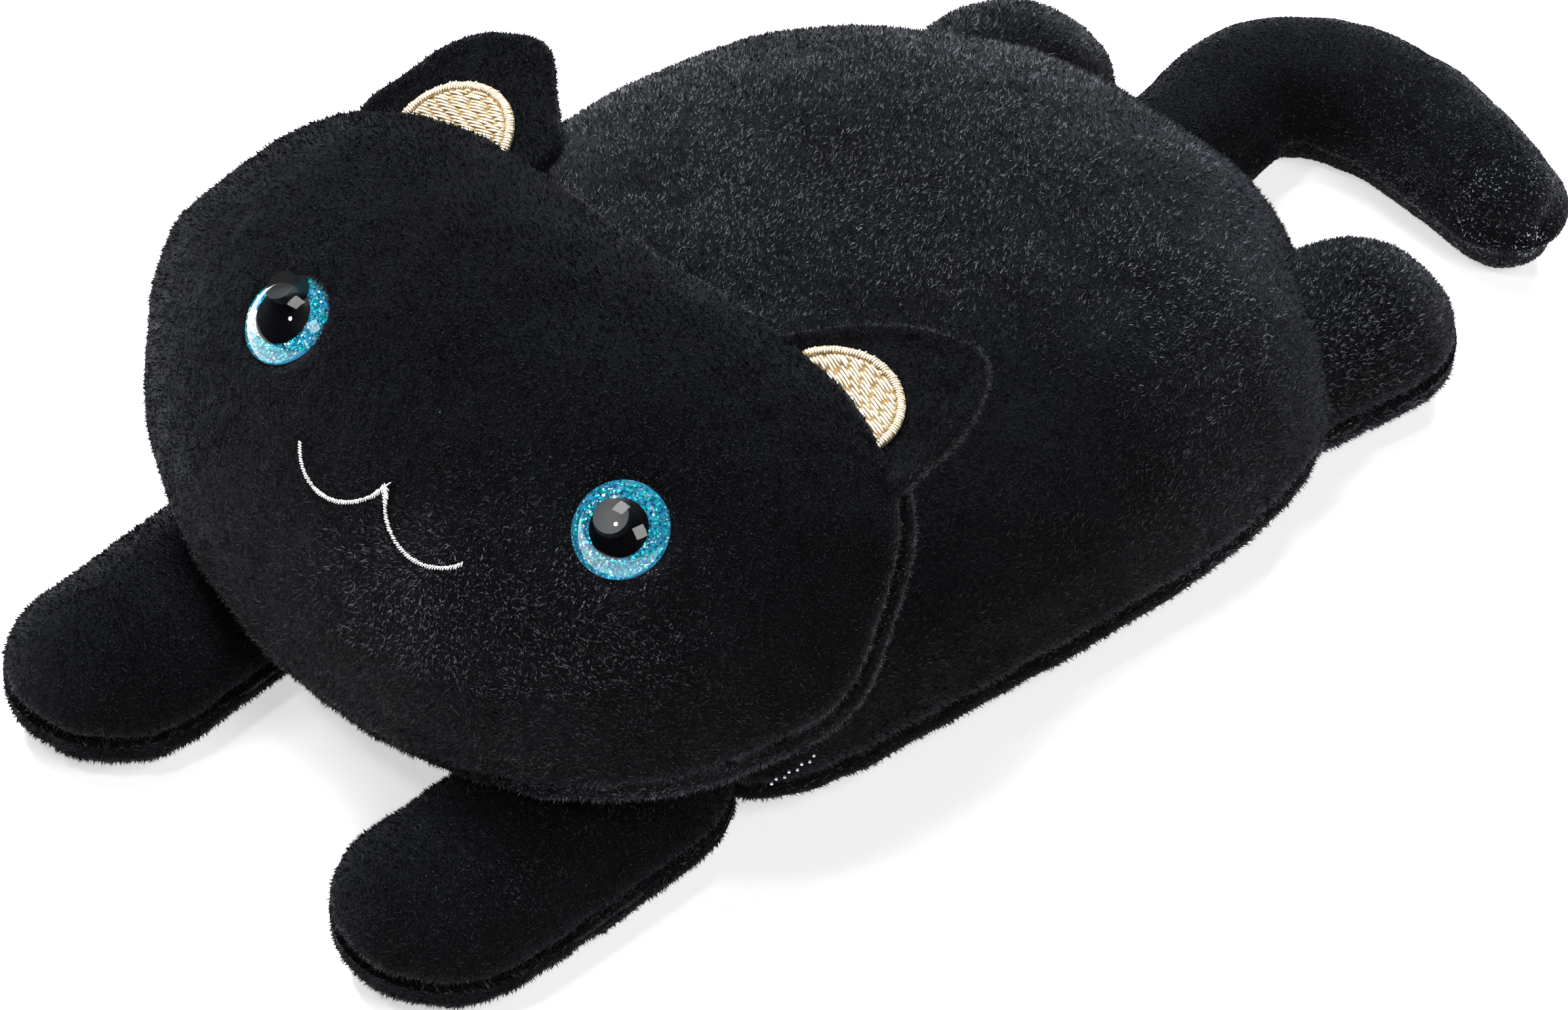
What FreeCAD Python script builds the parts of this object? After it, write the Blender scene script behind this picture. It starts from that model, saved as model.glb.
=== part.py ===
import FreeCAD, Part
import math
import os

import Sketcher

V = FreeCAD.Vector
DOC = FreeCAD.newDocument("plush_cat")

# ---------------------------------------------------------------- driving dimensions
# Millimetres and degrees. X is the cat's left, Y runs from the paws to the tail, Z is up.
# Every "_along" is measured from the front edge of the body, which lies at neck_edge.
SIZES = {
    "neck_edge": -66.7,
    "cloth": 1.6,
    "loft_gap": 0.3,
    "joint_gap": 0.5,
    # head pillow, in its own tilted plane
    "head_tilt": 31.0,
    "head_along": 9.0,
    "head_height": 45.0,
    "cheek_x": 34.5,
    "cheek_y": 0.5,
    "cheek_round": 34.0,
    "chin_y": -9.0,
    "chin_round": 36.0,
    "face_height": 18.0,
    "face_soft": 15.5,
    "nape_height": 9.0,
    "nape_soft": 8.5,
    # eyes
    "eye_x": 33.0,
    "eye_y": -3.0,
    "eye_lean": 11.0,
    "eye_round": 7.0,
    "eye_dome_height": 4.2,
    "iris_round": 6.6,
    "iris_thick": 0.6,
    "pupil_round": 4.4,
    "pupil_height": 3.0,
    "post_round": 2.4,
    "post_length": 12.0,
    "washer_round": 6.5,
    "washer_thick": 1.2,
    "washer_depth": 3.0,
    "eye_slack": 0.2,
    "post_slack": 0.15,
    "washer_slack": 0.05,
    "post_spare": 0.6,
    "rib_sunk": 0.2,
    "rib_round": 0.25,
    "rib_step": 1.2,
    # embroidery
    "bow_x": 9.0,
    "bow_y": -12.05,
    "bow_round": 9.6,
    "bow_start": 201.0,
    "bow_end": 327.6,
    "cusp_low": -15.9,
    "cusp_high": -14.3,
    "thread_wide": 0.7,
    "thread_proud": 0.5,
    "patch_round": 9.6,
    "patch_base": 0.8,
    "stitch_round": 0.4,
    "stitch_step": 1.75,
    "stitch_bearing": -26.0,
    "stitch_inset": 1.2,
    "stitch_low": 5.0,
    "stitch_zigzag": 0.35,
    # ears
    "ear_x": 39.9,
    "ear_y": 34.7,
    "ear_splay": 13.2,
    "ear_lean": 32.0,
    "ear_half_base": 14.0,
    "ear_corner": 3.0,
    "ear_corner_y": 3.6,
    "ear_tip_x": 1.0,
    "ear_tip_y": 11.5,
    "ear_tip_round": 9.0,
    "ear_thick": 2.2,
    "ear_soft": 1.3,
    # body pillow
    "rump_along": 83.0,
    "rump_round": 65.0,
    "shoulder_x": 28.0,
    "shoulder_along": 24.0,
    "shoulder_round": 24.0,
    "seam_height": 14.0,
    "back_height": 26.0,
    "back_soft": 19.0,
    "belly_soft": 9.0,
    "neck_round": 15.0,
    "neck_y": -2.0,
    "neck_thread": 1.0,
    "neck_gap": 1.8,
    # limbs
    "front_hinge_x": 34.0,
    "front_hinge_along": -8.0,
    "front_reach": 29.5,
    "front_round": 16.5,
    "hind_round": 16.0,
    "hind_reach": 14.5,
    "hind_left_x": 40.0,
    "hind_left_along": 123.5,
    "hind_left_splay": 14.0,
    "hind_right_x": -34.5,
    "hind_right_along": 127.5,
    "hind_right_splay": 3.0,
    "hind_inward": 6.0,
    "hind_outward": 20.0,
    "limb_lift": 0.3,
    "limb_seam": 9.2,
    "limb_height": 10.8,
    "limb_soft": 9.5,
    "limb_sole_soft": 7.5,
    # tail
    "tail_x": -3.5,
    "tail_along": 148.0,
    "tail_round": 9.5,
    "tail_straight": 18.0,
    "tail_bend": 12.0,
    "tail_tip_x": 47.0,
    "tail_tip_y": 27.0,
    "tail_tip_round": 8.2,
    "tail_half_height": 9.0,
    "tail_soft": 7.2,
}

RIBS = 4
STITCHES = 8
# A block this large reaches past the whole cat on every side.
BEYOND = 300.0


class Dim:
    """A size that knows both its value and its expression over the spreadsheet."""

    def __init__(self, value, text):
        self.value = value
        self.text = text

    def _join(self, other, sign, value):
        text = other.text if isinstance(other, Dim) else str(other)
        return Dim(value, f"({self.text} {sign} {text})")

    def __add__(self, other):
        return self._join(other, "+", self.value + number(other))

    def __sub__(self, other):
        return self._join(other, "-", self.value - number(other))

    def __mul__(self, other):
        return self._join(other, "*", self.value * number(other))

    def __neg__(self):
        return Dim(-self.value, f"(-1 * {self.text})")


def number(item):
    """The value of a Dim or of a plain number."""
    return item.value if isinstance(item, Dim) else item


def make_sheet():
    """Write every driving dimension into the spreadsheet, with its alias."""
    sheet = DOC.addObject("Spreadsheet::Sheet", "Sizes")
    for row, (alias, value) in enumerate(SIZES.items(), start=1):
        sheet.set(f"A{row}", alias)
        sheet.set(f"B{row}", str(value))
        sheet.setAlias(f"B{row}", alias)
    DOC.recompute()


def size(alias):
    """The Dim of one alias."""
    return Dim(SIZES[alias], f"Sizes.{alias}")


ZERO = Dim(0.0, "0")
CLOTH = size("cloth")
LOFT = size("loft_gap")
GAP = size("joint_gap")

# ---------------------------------------------------------------- sketches and pads


def origin_plane(body, role):
    """One of a body's own origin planes."""
    return next(o for o in body.Origin.OriginFeatures if o.Role == role)


def new_sketch(body, name, role="XY_Plane", lift=ZERO):
    """A sketch on an origin plane of its body, raised by lift along the plane's normal."""
    sketch = body.newObject("Sketcher::SketchObject", name)
    sketch.AttachmentSupport = [(origin_plane(body, role), "")]
    sketch.MapMode = "FlatFace"
    sketch.AttachmentOffset = FreeCAD.Placement(V(0, 0, lift.value), FreeCAD.Rotation())
    sketch.setExpression("AttachmentOffset.Base.z", lift.text)
    return sketch


def bind(sketch, constraint, dim):
    """Add a dimensional constraint and drive it from the spreadsheet."""
    index = sketch.addConstraint(constraint)
    sketch.setExpression(f"Constraints[{index}]", dim.text)


def fix_centre(sketch, arc, x, y):
    """Drive the centre of an arc from two sizes."""
    for kind, dim, axis in (("DistanceX", x, -2), ("DistanceY", y, -1)):
        if abs(dim.value) < 1e-9:
            sketch.addConstraint(Sketcher.Constraint("PointOnObject", arc, 3, axis))
        elif dim.value > 0:
            bind(sketch, Sketcher.Constraint(kind, -1, 1, arc, 3, dim.value), dim)
        else:
            bind(sketch, Sketcher.Constraint(kind, arc, 3, -1, 1, -dim.value), -dim)


def belt(sketch, circles):
    """Draw the outline of a belt run anticlockwise round circles (x, y, radius).

    A circle with a negative radius is passed on its other side, as in the crook of a bend.
    """
    count = len(circles)
    normals = []
    for i in range(count):
        (xa, ya, ra), (xb, yb, rb) = circles[i], circles[(i + 1) % count]
        run = V(xb.value - xa.value, yb.value - ya.value, 0)
        along = run / run.Length
        share = (ra.value - rb.value) / run.Length
        normals.append(along * share + V(along.y, -along.x, 0) * math.sqrt(1 - share * share))
    arcs = []
    for i, (x, y, r) in enumerate(circles):
        side = 1 if r.value > 0 else -1
        enter, leave = normals[i - 1] * side, normals[i] * side
        first, last = (enter, leave) if side > 0 else (leave, enter)
        start, end = math.atan2(first.y, first.x), math.atan2(last.y, last.x)
        end += 2 * math.pi if end <= start else 0
        circle = Part.Circle(V(x.value, y.value, 0), V(0, 0, 1), abs(r.value))
        arcs.append(sketch.addGeometry(Part.ArcOfCircle(circle, start, end), False))
    lines = []
    for i in range(count):
        (xa, ya, ra), (xb, yb, rb) = circles[i], circles[(i + 1) % count]
        start = V(xa.value, ya.value, 0) + normals[i] * ra.value
        end = V(xb.value, yb.value, 0) + normals[i] * rb.value
        lines.append(sketch.addGeometry(Part.LineSegment(start, end), False))
    for i, (x, y, r) in enumerate(circles):
        convex = r.value > 0
        entry, leave = (1, 2) if convex else (2, 1)
        sketch.addConstraint(Sketcher.Constraint("Tangent", arcs[i], leave, lines[i], 1))
        sketch.addConstraint(Sketcher.Constraint("Tangent", lines[i - 1], 2, arcs[i], entry))
        radius = r if convex else -r
        bind(sketch, Sketcher.Constraint("Radius", arcs[i], radius.value), radius)
        fix_centre(sketch, arcs[i], x, y)


def add_pad(body, sketch, length, name="Pad"):
    """Pad a sketch along its normal."""
    pad = body.newObject("PartDesign::Pad", name)
    pad.Profile = sketch
    pad.Length = length.value
    pad.setExpression("Length", length.text)
    DOC.recompute()
    return pad


def soften(body, height, radius, name):
    """Round the edges of the body's tip that lie wholly at one height."""
    base = body.Tip
    level = [
        f"Edge{n}"
        for n, edge in enumerate(base.Shape.Edges, start=1)
        if all(abs(v.Point.z - height) < 1e-4 for v in edge.Vertexes)
    ]
    fillet = body.newObject("PartDesign::Fillet", name)
    fillet.Base = (base, level)
    fillet.Radius = radius.value
    fillet.setExpression("Radius", radius.text)
    DOC.recompute()


def inset(circles, amount):
    """The same belt drawn in by an amount, which offsets the outline exactly."""
    return [(x, y, r - amount) for x, y, r in circles]


def pillow(name, circles, low, high, low_soft=None, high_soft=None):
    """A padded outline from height low to height high, with soft lower and upper edges."""
    body = DOC.addObject("PartDesign::Body", name)
    sketch = new_sketch(body, f"{name}_outline", lift=low)
    belt(sketch, circles)
    DOC.recompute()
    add_pad(body, sketch, high - low)
    if high_soft:
        soften(body, high.value, high_soft, "UpperEdge")
    if low_soft:
        soften(body, low.value, low_soft, "LowerEdge")
    return body


def place(obj, where, axis=None, angle=ZERO):
    """Place an object at three sizes, turned about an axis by an angle, all driven by the sheet."""
    if angle.value < 0:
        axis, angle = axis * -1, -angle
    rotation = FreeCAD.Rotation(axis, angle.value) if axis else FreeCAD.Rotation()
    obj.Placement = FreeCAD.Placement(V(*(d.value for d in where)), rotation)
    for letter, dim in zip("xyz", where):
        obj.setExpression(f"Placement.Base.{letter}", dim.text)
    if axis and angle.value:
        obj.setExpression("Placement.Rotation.Angle", angle.text)
    return obj


def cut(name, base, *tools):
    """Base without its tools."""
    for n, tool in enumerate(tools, start=1):
        step = DOC.addObject("Part::Cut", name if n == len(tools) else f"{name}_step{n}")
        step.Base = base
        step.Tool = tool
        base = step
    DOC.recompute()
    return base


def joined(name, parts):
    """Several solids as one tool."""
    fuse = DOC.addObject("Part::MultiFuse", name)
    fuse.Shapes = parts
    DOC.recompute()
    return fuse


def cylinder(name, radius, height, base=None):
    """An upright Part cylinder, with its foot at height base if one is given."""
    item = DOC.addObject("Part::Cylinder", name)
    item.Radius = radius.value
    item.setExpression("Radius", radius.text)
    item.Height = height.value
    item.setExpression("Height", height.text)
    return place(item, (ZERO, ZERO, base)) if base else item


# ---------------------------------------------------------------- stuffed pieces

SUBPARTS = {}


def keep(node, obj):
    """Name a sub-part and list it for writing."""
    obj.Label = node
    SUBPARTS[node] = obj
    return obj


def stuffed(node, circles, seam, low, high, low_soft, high_soft, top, bottom, tools=None):
    """Make the two cloth panels and the filling of one stuffed piece.

    Its seam lies at height seam. tools(extra) gives solids to cut away, grown by extra,
    and top and bottom are the words that name the two panels.
    """
    cavity = pillow(
        f"{node}_cavity", inset(circles, CLOTH), low + CLOTH, high - CLOTH, low_soft - CLOTH, high_soft - CLOTH
    )
    upper = pillow(f"{node}_upper", circles, seam, high, None, high_soft)
    lower = pillow(f"{node}_lower", circles, low, seam, low_soft, None)
    thin = CLOTH + LOFT
    wad = pillow(f"{node}_wad", inset(circles, thin), low + thin, high - thin, low_soft - thin, high_soft - thin)
    pieces = []
    if tools:
        cavity = cut(f"{node}_hollow", cavity, tools(CLOTH))
        upper = cut(f"{node}_over", upper, tools(ZERO))
        lower = cut(f"{node}_under", lower, tools(ZERO))
        wad = cut(f"{node}_core", wad, tools(thin))
    pieces.append(keep(f"{node}_{top}_panel", cut(f"{node}_{top}", upper, cavity)))
    pieces.append(keep(f"{node}_{bottom}_panel", cut(f"{node}_{bottom}", lower, cavity)))
    pieces.append(keep(f"{node}_filling", wad))
    return pieces


# ---------------------------------------------------------------- where things lie


def along(alias):
    """A distance behind the front edge of the body, as a row coordinate."""
    return size("neck_edge") + size(alias)


def head_placement():
    """The head's own frame: its origin in the seam plane and its tilt."""
    return FreeCAD.Placement(
        V(0, along("head_along").value, SIZES["head_height"]), FreeCAD.Rotation(V(1, 0, 0), SIZES["head_tilt"])
    )


def to_head(obj, local=None):
    """Place an object in the head's tilted frame, after its own local placement."""
    obj.Placement = head_placement().multiply(local or FreeCAD.Placement())
    return obj


# ---------------------------------------------------------------- body

TALL = size("seam_height") + size("back_height")


def limb_hinges():
    """Where each leg turns: its x and y, the angle it rests at and the way along Y that it points."""
    return {
        "front_leg_left": (size("front_hinge_x"), along("front_hinge_along"), ZERO, -1),
        "front_leg_right": (-size("front_hinge_x"), along("front_hinge_along"), ZERO, -1),
        "hind_leg_left": (size("hind_left_x"), along("hind_left_along"), -size("hind_left_splay"), 1),
        "hind_leg_right": (size("hind_right_x"), along("hind_right_along"), size("hind_right_splay"), 1),
    }


def limb_round(name):
    """Half the width of a leg."""
    return size("front_round" if name.startswith("front") else "hind_round")


def block(name, corner, turn=None):
    """A very large box from one corner, to cut with."""
    box = DOC.addObject("Part::Box", name)
    for side in ("Length", "Width", "Height"):
        setattr(box, side, BEYOND)
    box.Placement = FreeCAD.Placement(corner, turn or FreeCAD.Rotation())
    return box


def neck_slope(extra):
    """The space over the front of the body that the head pillow lies in."""
    depth = SIZES["nape_height"] + SIZES["neck_gap"] + extra.value
    head = head_placement()
    over = block("neck_space", head.multVec(V(-BEYOND / 2, -BEYOND / 2, -depth)), head.Rotation)
    # The space ends where the slope reaches the top of the back.
    tilt = math.radians(SIZES["head_tilt"])
    crest = head.Base.y + (TALL.value - head.Base.z + depth / math.cos(tilt)) / math.tan(tilt)
    before = block("neck_shelf", V(-BEYOND / 2, crest - BEYOND, -BEYOND / 2))
    space = DOC.addObject("Part::Common", "neck_wedge")
    space.Base = over
    space.Tool = before
    return space


def body_tools(extra):
    """Everything cut out of the body: the neck slope and a round socket for each limb."""
    tools = [neck_slope(extra)]
    limb_top = size("limb_lift") + size("limb_seam") + size("limb_height")
    tail_top = size("limb_lift") + size("tail_half_height") * 2
    sockets = [(x, y, limb_round(name), limb_top) for name, (x, y, _angle, _way) in limb_hinges().items()]
    sockets.append((size("tail_x"), along("tail_along"), size("tail_round"), tail_top))
    for x, y, radius, top in sockets:
        socket = cylinder("socket", radius + GAP + extra, top + GAP + extra + CLOTH)
        tools.append(place(socket, (x, y, -CLOTH)))
    for side, word in ((-1, "left"), (1, "right")):
        x, y, angle, _way = limb_hinges()[f"hind_leg_{word}"]
        for swing in (size("hind_inward"), ZERO, -size("hind_outward")):
            tools.append(sweep(x, y, angle + swing * side, limb_round("hind") + GAP + extra, limb_top + GAP + extra))
    return joined("body_tools", tools)


def sweep(x, y, angle, half, top):
    """The room behind a hinge that a leg of a half width takes up at one angle."""
    box = DOC.addObject("Part::Box", "sweep")
    box.setExpression("Length", (half * 2).text)
    box.setExpression("Height", (top + CLOTH).text)
    box.Width = BEYOND
    turn = FreeCAD.Rotation(V(0, 0, 1), angle.value)
    box.Placement = FreeCAD.Placement(V(x.value, y.value, -CLOTH.value) + turn.multVec(V(-half.value, 0, 0)), turn)
    return box


def make_body():
    """The flat body pillow, cut to lie under the head and round its limbs."""
    circles = [
        (size("shoulder_x"), along("shoulder_along"), size("shoulder_round")),
        (ZERO, along("rump_along"), size("rump_round")),
        (-size("shoulder_x"), along("shoulder_along"), size("shoulder_round")),
    ]
    stuffed(
        "body", circles, size("seam_height"), ZERO, TALL, size("belly_soft"), size("back_soft"),
        "top", "bottom", body_tools,
    )


def make_neck_stitching():
    """The ring of hand stitches that holds the head on the slope of the body."""
    thread = size("neck_thread") * 0.5
    ring = DOC.addObject("Part::Torus", "neck_ring")
    for side, dim in (("Radius1", size("neck_round")), ("Radius2", thread)):
        setattr(ring, side, dim.value)
        ring.setExpression(side, dim.text)
    drop = size("nape_height") + size("neck_gap") - thread
    keep("neck_stitching", to_head(ring, FreeCAD.Placement(V(0, SIZES["neck_y"], -drop.value), FreeCAD.Rotation())))


# ---------------------------------------------------------------- limbs and tail


def make_limb(name, x, y, angle, way):
    """One leg, a capsule pillow that turns about its own root."""
    radius = limb_round(name)
    reach = size("front_reach" if name.startswith("front") else "hind_reach") * way
    low = size("limb_lift")
    seam = low + size("limb_seam")
    circles = [(ZERO, ZERO, radius), (ZERO, reach, radius)]
    pieces = stuffed(
        name, circles, seam, low, seam + size("limb_height"), size("limb_sole_soft"), size("limb_soft"),
        "top", "bottom",
    )
    for piece in pieces:
        place(piece, (x, y, ZERO), V(0, 0, 1), angle)


def make_tail():
    """The tail: a straight root, one bend and a tapering end that curls to the cat's left."""
    round_, bend, straight = size("tail_round"), size("tail_bend"), size("tail_straight")
    circles = [
        (ZERO, ZERO, round_),
        (bend, straight, round_ - bend),
        (size("tail_tip_x"), size("tail_tip_y"), size("tail_tip_round")),
        (bend, straight, round_ + bend),
    ]
    low = size("limb_lift")
    seam = low + size("tail_half_height")
    soft = size("tail_soft")
    pieces = stuffed("tail", circles, seam, low, seam + size("tail_half_height"), soft, soft, "top", "bottom")
    for piece in pieces:
        place(piece, (size("tail_x"), along("tail_along"), ZERO))


# ---------------------------------------------------------------- head

def eye_frame(side):
    """Where an eye sits in the head's frame: on the face, leaning outward."""
    spot = V(side * SIZES["eye_x"], SIZES["eye_y"], SIZES["face_height"])
    return FreeCAD.Placement(spot, FreeCAD.Rotation(V(0, 1, 0), side * SIZES["eye_lean"]))


def eye_room(name, radius, height, foot):
    """A round space on both eyes' axes, from height foot in the eye's frame."""
    tools = []
    for side in (1, -1):
        item = cylinder(name, radius, height)
        item.Placement = eye_frame(side).multiply(FreeCAD.Placement(V(0, 0, foot.value), FreeCAD.Rotation()))
        tools.append(item)
    return joined(name, tools)


def eye_tools(extra):
    """Room for both eyes in the head: the seat on the cloth and the stem."""
    shaft = size("post_length") + size("post_spare")
    return joined("eye_space", [
        eye_room("eye_seat", size("eye_round") + size("eye_slack"), size("eye_round"), ZERO),
        eye_room("eye_shaft", size("post_round") + size("post_slack") + extra, shaft, -shaft),
    ])


def washer_room():
    """Pockets in the filling for the two washers, open up to the cloth."""
    foot = -size("washer_depth") - size("washer_thick") - LOFT
    return eye_room("washer_pocket", size("washer_round") + LOFT, -foot, foot)


def make_head():
    """The head pillow: face and back panels with a filling, made flat and then tilted."""
    circles = [
        (size("cheek_x"), size("cheek_y"), size("cheek_round")),
        (-size("cheek_x"), size("cheek_y"), size("cheek_round")),
        (ZERO, size("chin_y"), size("chin_round")),
    ]
    stuffed(
        "head", circles, ZERO, -size("nape_height"), size("face_height"), size("nape_soft"), size("face_soft"),
        "face", "back", None,
    )
    face = cut("head_face_pierced", SUBPARTS["head_face_panel"], eye_tools(ZERO))
    wad = cut("head_wad_pierced", SUBPARTS["head_filling"], eye_tools(LOFT), washer_room())
    SUBPARTS["head_face_panel"].Label = "head_face_whole"
    SUBPARTS["head_filling"].Label = "head_wad_whole"
    keep("head_face_panel", face)
    keep("head_filling", wad)
    for node in ("head_face_panel", "head_back_panel", "head_filling"):
        place(SUBPARTS[node], (ZERO, along("head_along"), size("head_height")), V(1, 0, 0), size("head_tilt"))


def cap(name, radius, height, foot):
    """A spherical cap of a rim radius and a height, standing on its rim at height foot."""
    body = DOC.addObject("PartDesign::Body", name)
    sketch = new_sketch(body, f"{name}_profile", "XZ_Plane")
    ball = (radius.value**2 + height.value**2) / (2 * height.value)
    low = foot.value
    top = V(0, low + height.value, 0)
    rim = V(radius.value, low, 0)
    middle = V(0, low + height.value - ball, 0)
    angle = math.atan2(rim.y - middle.y, rim.x)
    arc = sketch.addGeometry(Part.ArcOfCircle(Part.Circle(middle, V(0, 0, 1), ball), angle, math.pi / 2), False)
    axis = sketch.addGeometry(Part.LineSegment(top, V(0, low, 0)), False)
    base = sketch.addGeometry(Part.LineSegment(V(0, low, 0), rim), False)
    for a, pa, b, pb in ((arc, 2, axis, 1), (axis, 2, base, 1), (base, 2, arc, 1)):
        sketch.addConstraint(Sketcher.Constraint("Coincident", a, pa, b, pb))
    sketch.addConstraint(Sketcher.Constraint("Vertical", axis))
    sketch.addConstraint(Sketcher.Constraint("Horizontal", base))
    sketch.addConstraint(Sketcher.Constraint("PointOnObject", arc, 3, -2))
    sketch.addConstraint(Sketcher.Constraint("PointOnObject", axis, 1, -2))
    bind(sketch, Sketcher.Constraint("DistanceX", base, 1, base, 2, radius.value), radius)
    bind(sketch, Sketcher.Constraint("DistanceY", axis, 2, axis, 1, height.value), height)
    if foot.value > 0:
        bind(sketch, Sketcher.Constraint("DistanceY", -1, 1, axis, 2, low), foot)
    else:
        sketch.addConstraint(Sketcher.Constraint("PointOnObject", axis, 2, -1))
    turned = body.newObject("PartDesign::Revolution", "Turned")
    turned.Profile = sketch
    turned.ReferenceAxis = (sketch, ["V_Axis"])
    turned.Angle = 360
    DOC.recompute()
    return body


def ring(name, outer, inner, thick, foot):
    """A flat ring that stands on height foot."""
    hole = cylinder(f"{name}_hole", inner, thick * 3, foot - thick)
    return cut(name, cylinder(f"{name}_disc", outer, thick, foot), hole)


def make_eye(side, word):
    """One safety eye: clear dome, glitter iris, pupil, ribbed stem and lock washer."""
    iris_top = size("iris_thick")
    dome = cap(f"dome_{word}", size("eye_round"), size("eye_dome_height"), iris_top)
    pupil = cap(f"pupil_{word}", size("pupil_round"), size("pupil_height"), iris_top)
    hollow = cap(f"pupil_hollow_{word}", size("pupil_round"), size("pupil_height"), iris_top)
    clear = cut(f"clear_{word}", dome, hollow)
    iris = ring(f"iris_{word}", size("iris_round"), size("post_round") + size("post_slack"), iris_top, ZERO)
    level = -size("washer_depth") - size("washer_thick")
    hole = size("post_round") + size("washer_slack")
    washer = ring(f"washer_{word}", size("washer_round"), hole, size("washer_thick"), level)
    stem = [cylinder("stem", size("post_round"), size("post_length"), iris_top - size("post_length"))]
    for n in range(RIBS):
        rib = DOC.addObject("Part::Torus", "rib")
        rib.Radius1 = SIZES["post_round"] - SIZES["rib_sunk"]
        rib.Radius2 = SIZES["rib_round"]
        rib.Placement.Base = V(0, 0, level.value - SIZES["rib_step"] * (n + 1))
        stem.append(rib)
    post = joined(f"post_{word}", stem)
    for node, item in (("dome", clear), ("iris", iris), ("pupil", pupil), ("post", post), ("washer", washer)):
        keep(f"eye_{node}_{word}", to_head(item, eye_frame(side)))


def make_mouth():
    """The satin-stitched mouth: two bows that meet in a cusp."""
    half = size("thread_wide") * 0.5
    face = size("face_height")
    body = DOC.addObject("PartDesign::Body", "mouth")
    sketch = new_sketch(body, "bow", lift=face)
    first, last = math.radians(SIZES["bow_start"]), math.radians(SIZES["bow_end"])
    rims = []
    for radius in (size("bow_round") + half, size("bow_round") - half):
        circle = Part.Circle(V(SIZES["bow_x"], SIZES["bow_y"], 0), V(0, 0, 1), radius.value)
        rims.append(sketch.addGeometry(Part.ArcOfCircle(circle, first, last), False))
        bind(sketch, Sketcher.Constraint("Radius", rims[-1], radius.value), radius)
        fix_centre(sketch, rims[-1], size("bow_x"), size("bow_y"))
    for spot in (1, 2):
        side = sketch.addGeometry(Part.LineSegment(*(sketch.getPoint(rim, spot) for rim in rims)), False)
        for at, rim in enumerate(rims, start=1):
            sketch.addConstraint(Sketcher.Constraint("Coincident", side, at, rim, spot))
    add_pad(body, sketch, size("thread_proud"))
    mirror = body.newObject("PartDesign::Mirrored", "OtherBow")
    mirror.Originals = [body.Tip]
    mirror.MirrorPlane = (origin_plane(body, "YZ_Plane"), [""])
    body.Tip = mirror
    DOC.recompute()
    cusp = new_sketch(body, "cusp", lift=face)
    belt(cusp, [(ZERO, size("cusp_low"), half), (ZERO, size("cusp_high"), half)])
    add_pad(body, cusp, size("thread_proud"), "Cusp")
    keep("mouth_embroidery", to_head(body))


def make_closing_stitches():
    """The hand stitches that close the head under its left cheek, as separate threads."""
    middle = V(SIZES["cheek_x"], SIZES["cheek_y"], 0)
    reach = SIZES["cheek_round"] - SIZES["stitch_inset"]
    threads = []
    for n in range(STITCHES):
        angle = math.radians(SIZES["stitch_bearing"] + (n - (STITCHES - 1) / 2) * SIZES["stitch_step"])
        swing = SIZES["stitch_zigzag"] * (1 if n % 2 else -1)
        thread = DOC.addObject("Part::Sphere", "stitch")
        thread.Radius = SIZES["stitch_round"]
        thread.setExpression("Radius", "Sizes.stitch_round")
        thread.Placement.Base = middle + V(
            reach * math.cos(angle), reach * math.sin(angle), swing - SIZES["stitch_low"]
        )
        threads.append(thread)
    group = DOC.addObject("Part::Compound", "closing_stitches")
    group.Links = threads
    DOC.recompute()
    keep("head_closing_stitches", to_head(group))


def ear_frame(side):
    """Where an ear is sewn to the rim of the head: splayed outward and leaning back."""
    spot = V(side * SIZES["ear_x"], SIZES["ear_y"], 0)
    turn = FreeCAD.Rotation(V(0, 0, 1), -side * SIZES["ear_splay"])
    lean = FreeCAD.Rotation(V(1, 0, 0), -SIZES["ear_lean"])
    return FreeCAD.Placement(spot, turn.multiply(lean))


def make_ear(side, word):
    """One ear: front and back cloth with an embroidered patch on the front."""
    circles = [
        (size("ear_half_base"), size("ear_corner_y"), size("ear_corner")),
        (size("ear_tip_x") * side, size("ear_tip_y"), size("ear_tip_round")),
        (-size("ear_half_base"), size("ear_corner_y"), size("ear_corner")),
    ]
    thick, soft = size("ear_thick"), size("ear_soft")
    disc = cylinder("patch_disc", size("patch_round"), size("thread_proud"), thick)
    below = block("patch_trim", V(-BEYOND / 2, SIZES["patch_base"] - BEYOND, -BEYOND / 2))
    pieces = {
        "front_panel": pillow(f"ear_front_{word}", circles, ZERO, thick, None, soft),
        "back_panel": pillow(f"ear_back_{word}", circles, -thick, ZERO, soft, None),
        "embroidery": cut(f"patch_{word}", disc, below),
    }
    for name, piece in pieces.items():
        keep(f"ear_{word}_{name}", to_head(piece, ear_frame(side)))


# ---------------------------------------------------------------- assembly and output


def build():
    """Make every sub-part."""
    make_sheet()
    make_body()
    make_neck_stitching()
    make_head()
    make_mouth()
    make_closing_stitches()
    for side, word in ((1, "left"), (-1, "right")):
        make_eye(side, word)
        make_ear(side, word)
    for name, hinge in limb_hinges().items():
        make_limb(name, *hinge)
    make_tail()
    DOC.recompute()


def verify():
    """Stop if any object failed to compute or any sub-part is not a valid solid."""
    bad = [o.Name for o in DOC.Objects if {"Invalid", "Error"} & set(o.State)]
    for node, obj in SUBPARTS.items():
        shape = obj.Shape
        if shape.isNull() or not shape.isValid() or not shape.Solids:
            bad.append(node)
    if bad:
        raise RuntimeError("failed: " + ", ".join(sorted(set(bad))))


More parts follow.
